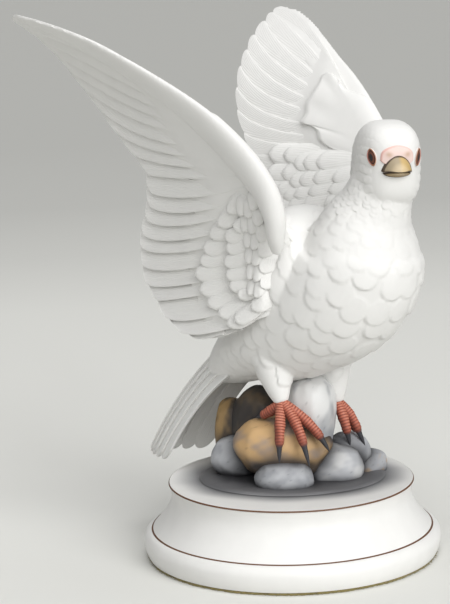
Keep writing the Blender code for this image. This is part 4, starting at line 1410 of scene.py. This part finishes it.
def floor_material():
    """Pale sweep that darkens slowly with distance from the object: a painted pool of light round it."""
    finish, tree, shader, where = new_finish("studio_floor")
    shader.inputs["Roughness"].default_value = 0.9
    shader.inputs["Specular IOR Level"].default_value = 0.1
    length = linked(tree, "ShaderNodeVectorMath", operation="LENGTH")
    tree.links.new(where, length.inputs[0])
    ramp = linked(tree, "ShaderNodeValToRGB")
    farthest = FLOOR_LIGHT_POOL[-1][0]
    tree.links.new(maths(tree, "DIVIDE", length.outputs["Value"], farthest), ramp.inputs["Fac"])
    stops = ramp.color_ramp.elements
    stops.remove(stops[0])
    for reach, _ in FLOOR_LIGHT_POOL[:-1]:
        stops.new(reach / farthest)
    for stop, (_, tone) in zip(stops, FLOOR_LIGHT_POOL):
        stop.color = (tone, tone, tone * 0.955, 1)
    tree.links.new(ramp.outputs["Color"], shader.inputs["Base Color"])
    return finish


# Studio


def bird_direction(right, ahead):
    """A level direction given as seen from the camera, turned to the bird's frame."""
    return (
        right * sin(CAMERA_BEARING) + ahead * cos(CAMERA_BEARING),
        -right * cos(CAMERA_BEARING) + ahead * sin(CAMERA_BEARING),
    )


def camera():
    data = bpy.data.cameras.new("photo_camera")
    made = added("photo_camera", data)
    made.location = (*bird_direction(0, -CAMERA_DISTANCE), CAMERA_HEIGHT)
    level = bird_direction(sin(CAMERA_PAN) * cos(CAMERA_TILT), cos(CAMERA_PAN) * cos(CAMERA_TILT))
    forward = Vector((*level, -sin(CAMERA_TILT)))
    aim = forward.to_track_quat("-Z", "Y").to_matrix() @ Matrix.Rotation(CAMERA_ROLL, 3, "Z")
    made.rotation_euler = aim.to_euler()
    data.sensor_width = SENSOR
    data.lens = PHOTO_FOCUS / PHOTO_LONG_SIDE * SENSOR
    data.clip_start, data.clip_end = 0.01, 60.0
    bpy.context.scene.camera = made


def soft_sun(name, right, ahead, up, strength, spread):
    """A wide far light that comes from a direction seen from the camera."""
    data = bpy.data.lights.new(name, "SUN")
    data.energy, data.angle = strength, radians(spread)
    made = added(name, data)
    source = Vector((*bird_direction(right, ahead), up))
    made.rotation_euler = (-source).to_track_quat("-Z", "Y").to_euler()


def studio():
    world = bpy.data.worlds.new("studio_air")
    bpy.context.scene.world = world
    world.use_nodes = True
    background = world.node_tree.nodes["Background"]
    background.inputs["Color"].default_value = (1.0, 1.0, 1.0, 1)
    background.inputs["Strength"].default_value = 0.05
    for light in LIGHTS:
        soft_sun(*light)


def floor():
    mesh = bpy.data.meshes.new("floor")
    half = FLOOR_HALF
    corners = [(-half, -half, 0), (half, -half, 0), (half, half, 0), (-half, half, 0)]
    mesh.from_pydata(corners, [], [(0, 1, 2, 3)])
    mesh.materials.append(floor_material())
    added("floor", mesh)


def placed(name, one, finish, node):
    made = mesh_object(name, one, [finish])
    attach(made, "root")
    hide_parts(node)


def main():
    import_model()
    body_finish = painted_ceramic("bisque_body", 0.62, 0.00006, 0.0)
    feather_finish = painted_ceramic("bisque_feathers", 0.62, 0.00006, 0.00005)
    colour_finish = painted_ceramic("bisque_painted", 0.50, 0.00008, 0.0)
    plinth_finish = painted_ceramic("bisque_plinth", 0.50, 0.00003, 0.0)
    left_wing = wing()
    stones = joined([stone(number) for number in range(len(STONES))])
    for name, one, finish in (
        ("dove_body", body(), body_finish),
        ("wing_left", lowered(left_wing), feather_finish),
        ("wing_right", mirrored(left_wing), feather_finish),
        ("tail_feathers", tail(), feather_finish),
        ("beak", beak(), colour_finish),
        ("forehead_skin", forehead(), colour_finish),
        ("eye_right", eye(-1), colour_finish),
        ("eye_left", eye(1), colour_finish),
        ("toes_and_claws", feet(), colour_finish),
        ("river_stones", stones, colour_finish),
    ):
        placed(name, settled(one), finish, "dove_on_rocks")
    placed("ground_slab", slab(), colour_finish, "dove_on_rocks")
    placed("round_plinth", plinth(), plinth_finish, "plinth")
    placed("felt_edge", felt(), felt_material(), "felt_pad")
    floor()
    studio()
    camera()
    bpy.context.scene.view_settings.view_transform = "Standard"
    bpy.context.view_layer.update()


main()
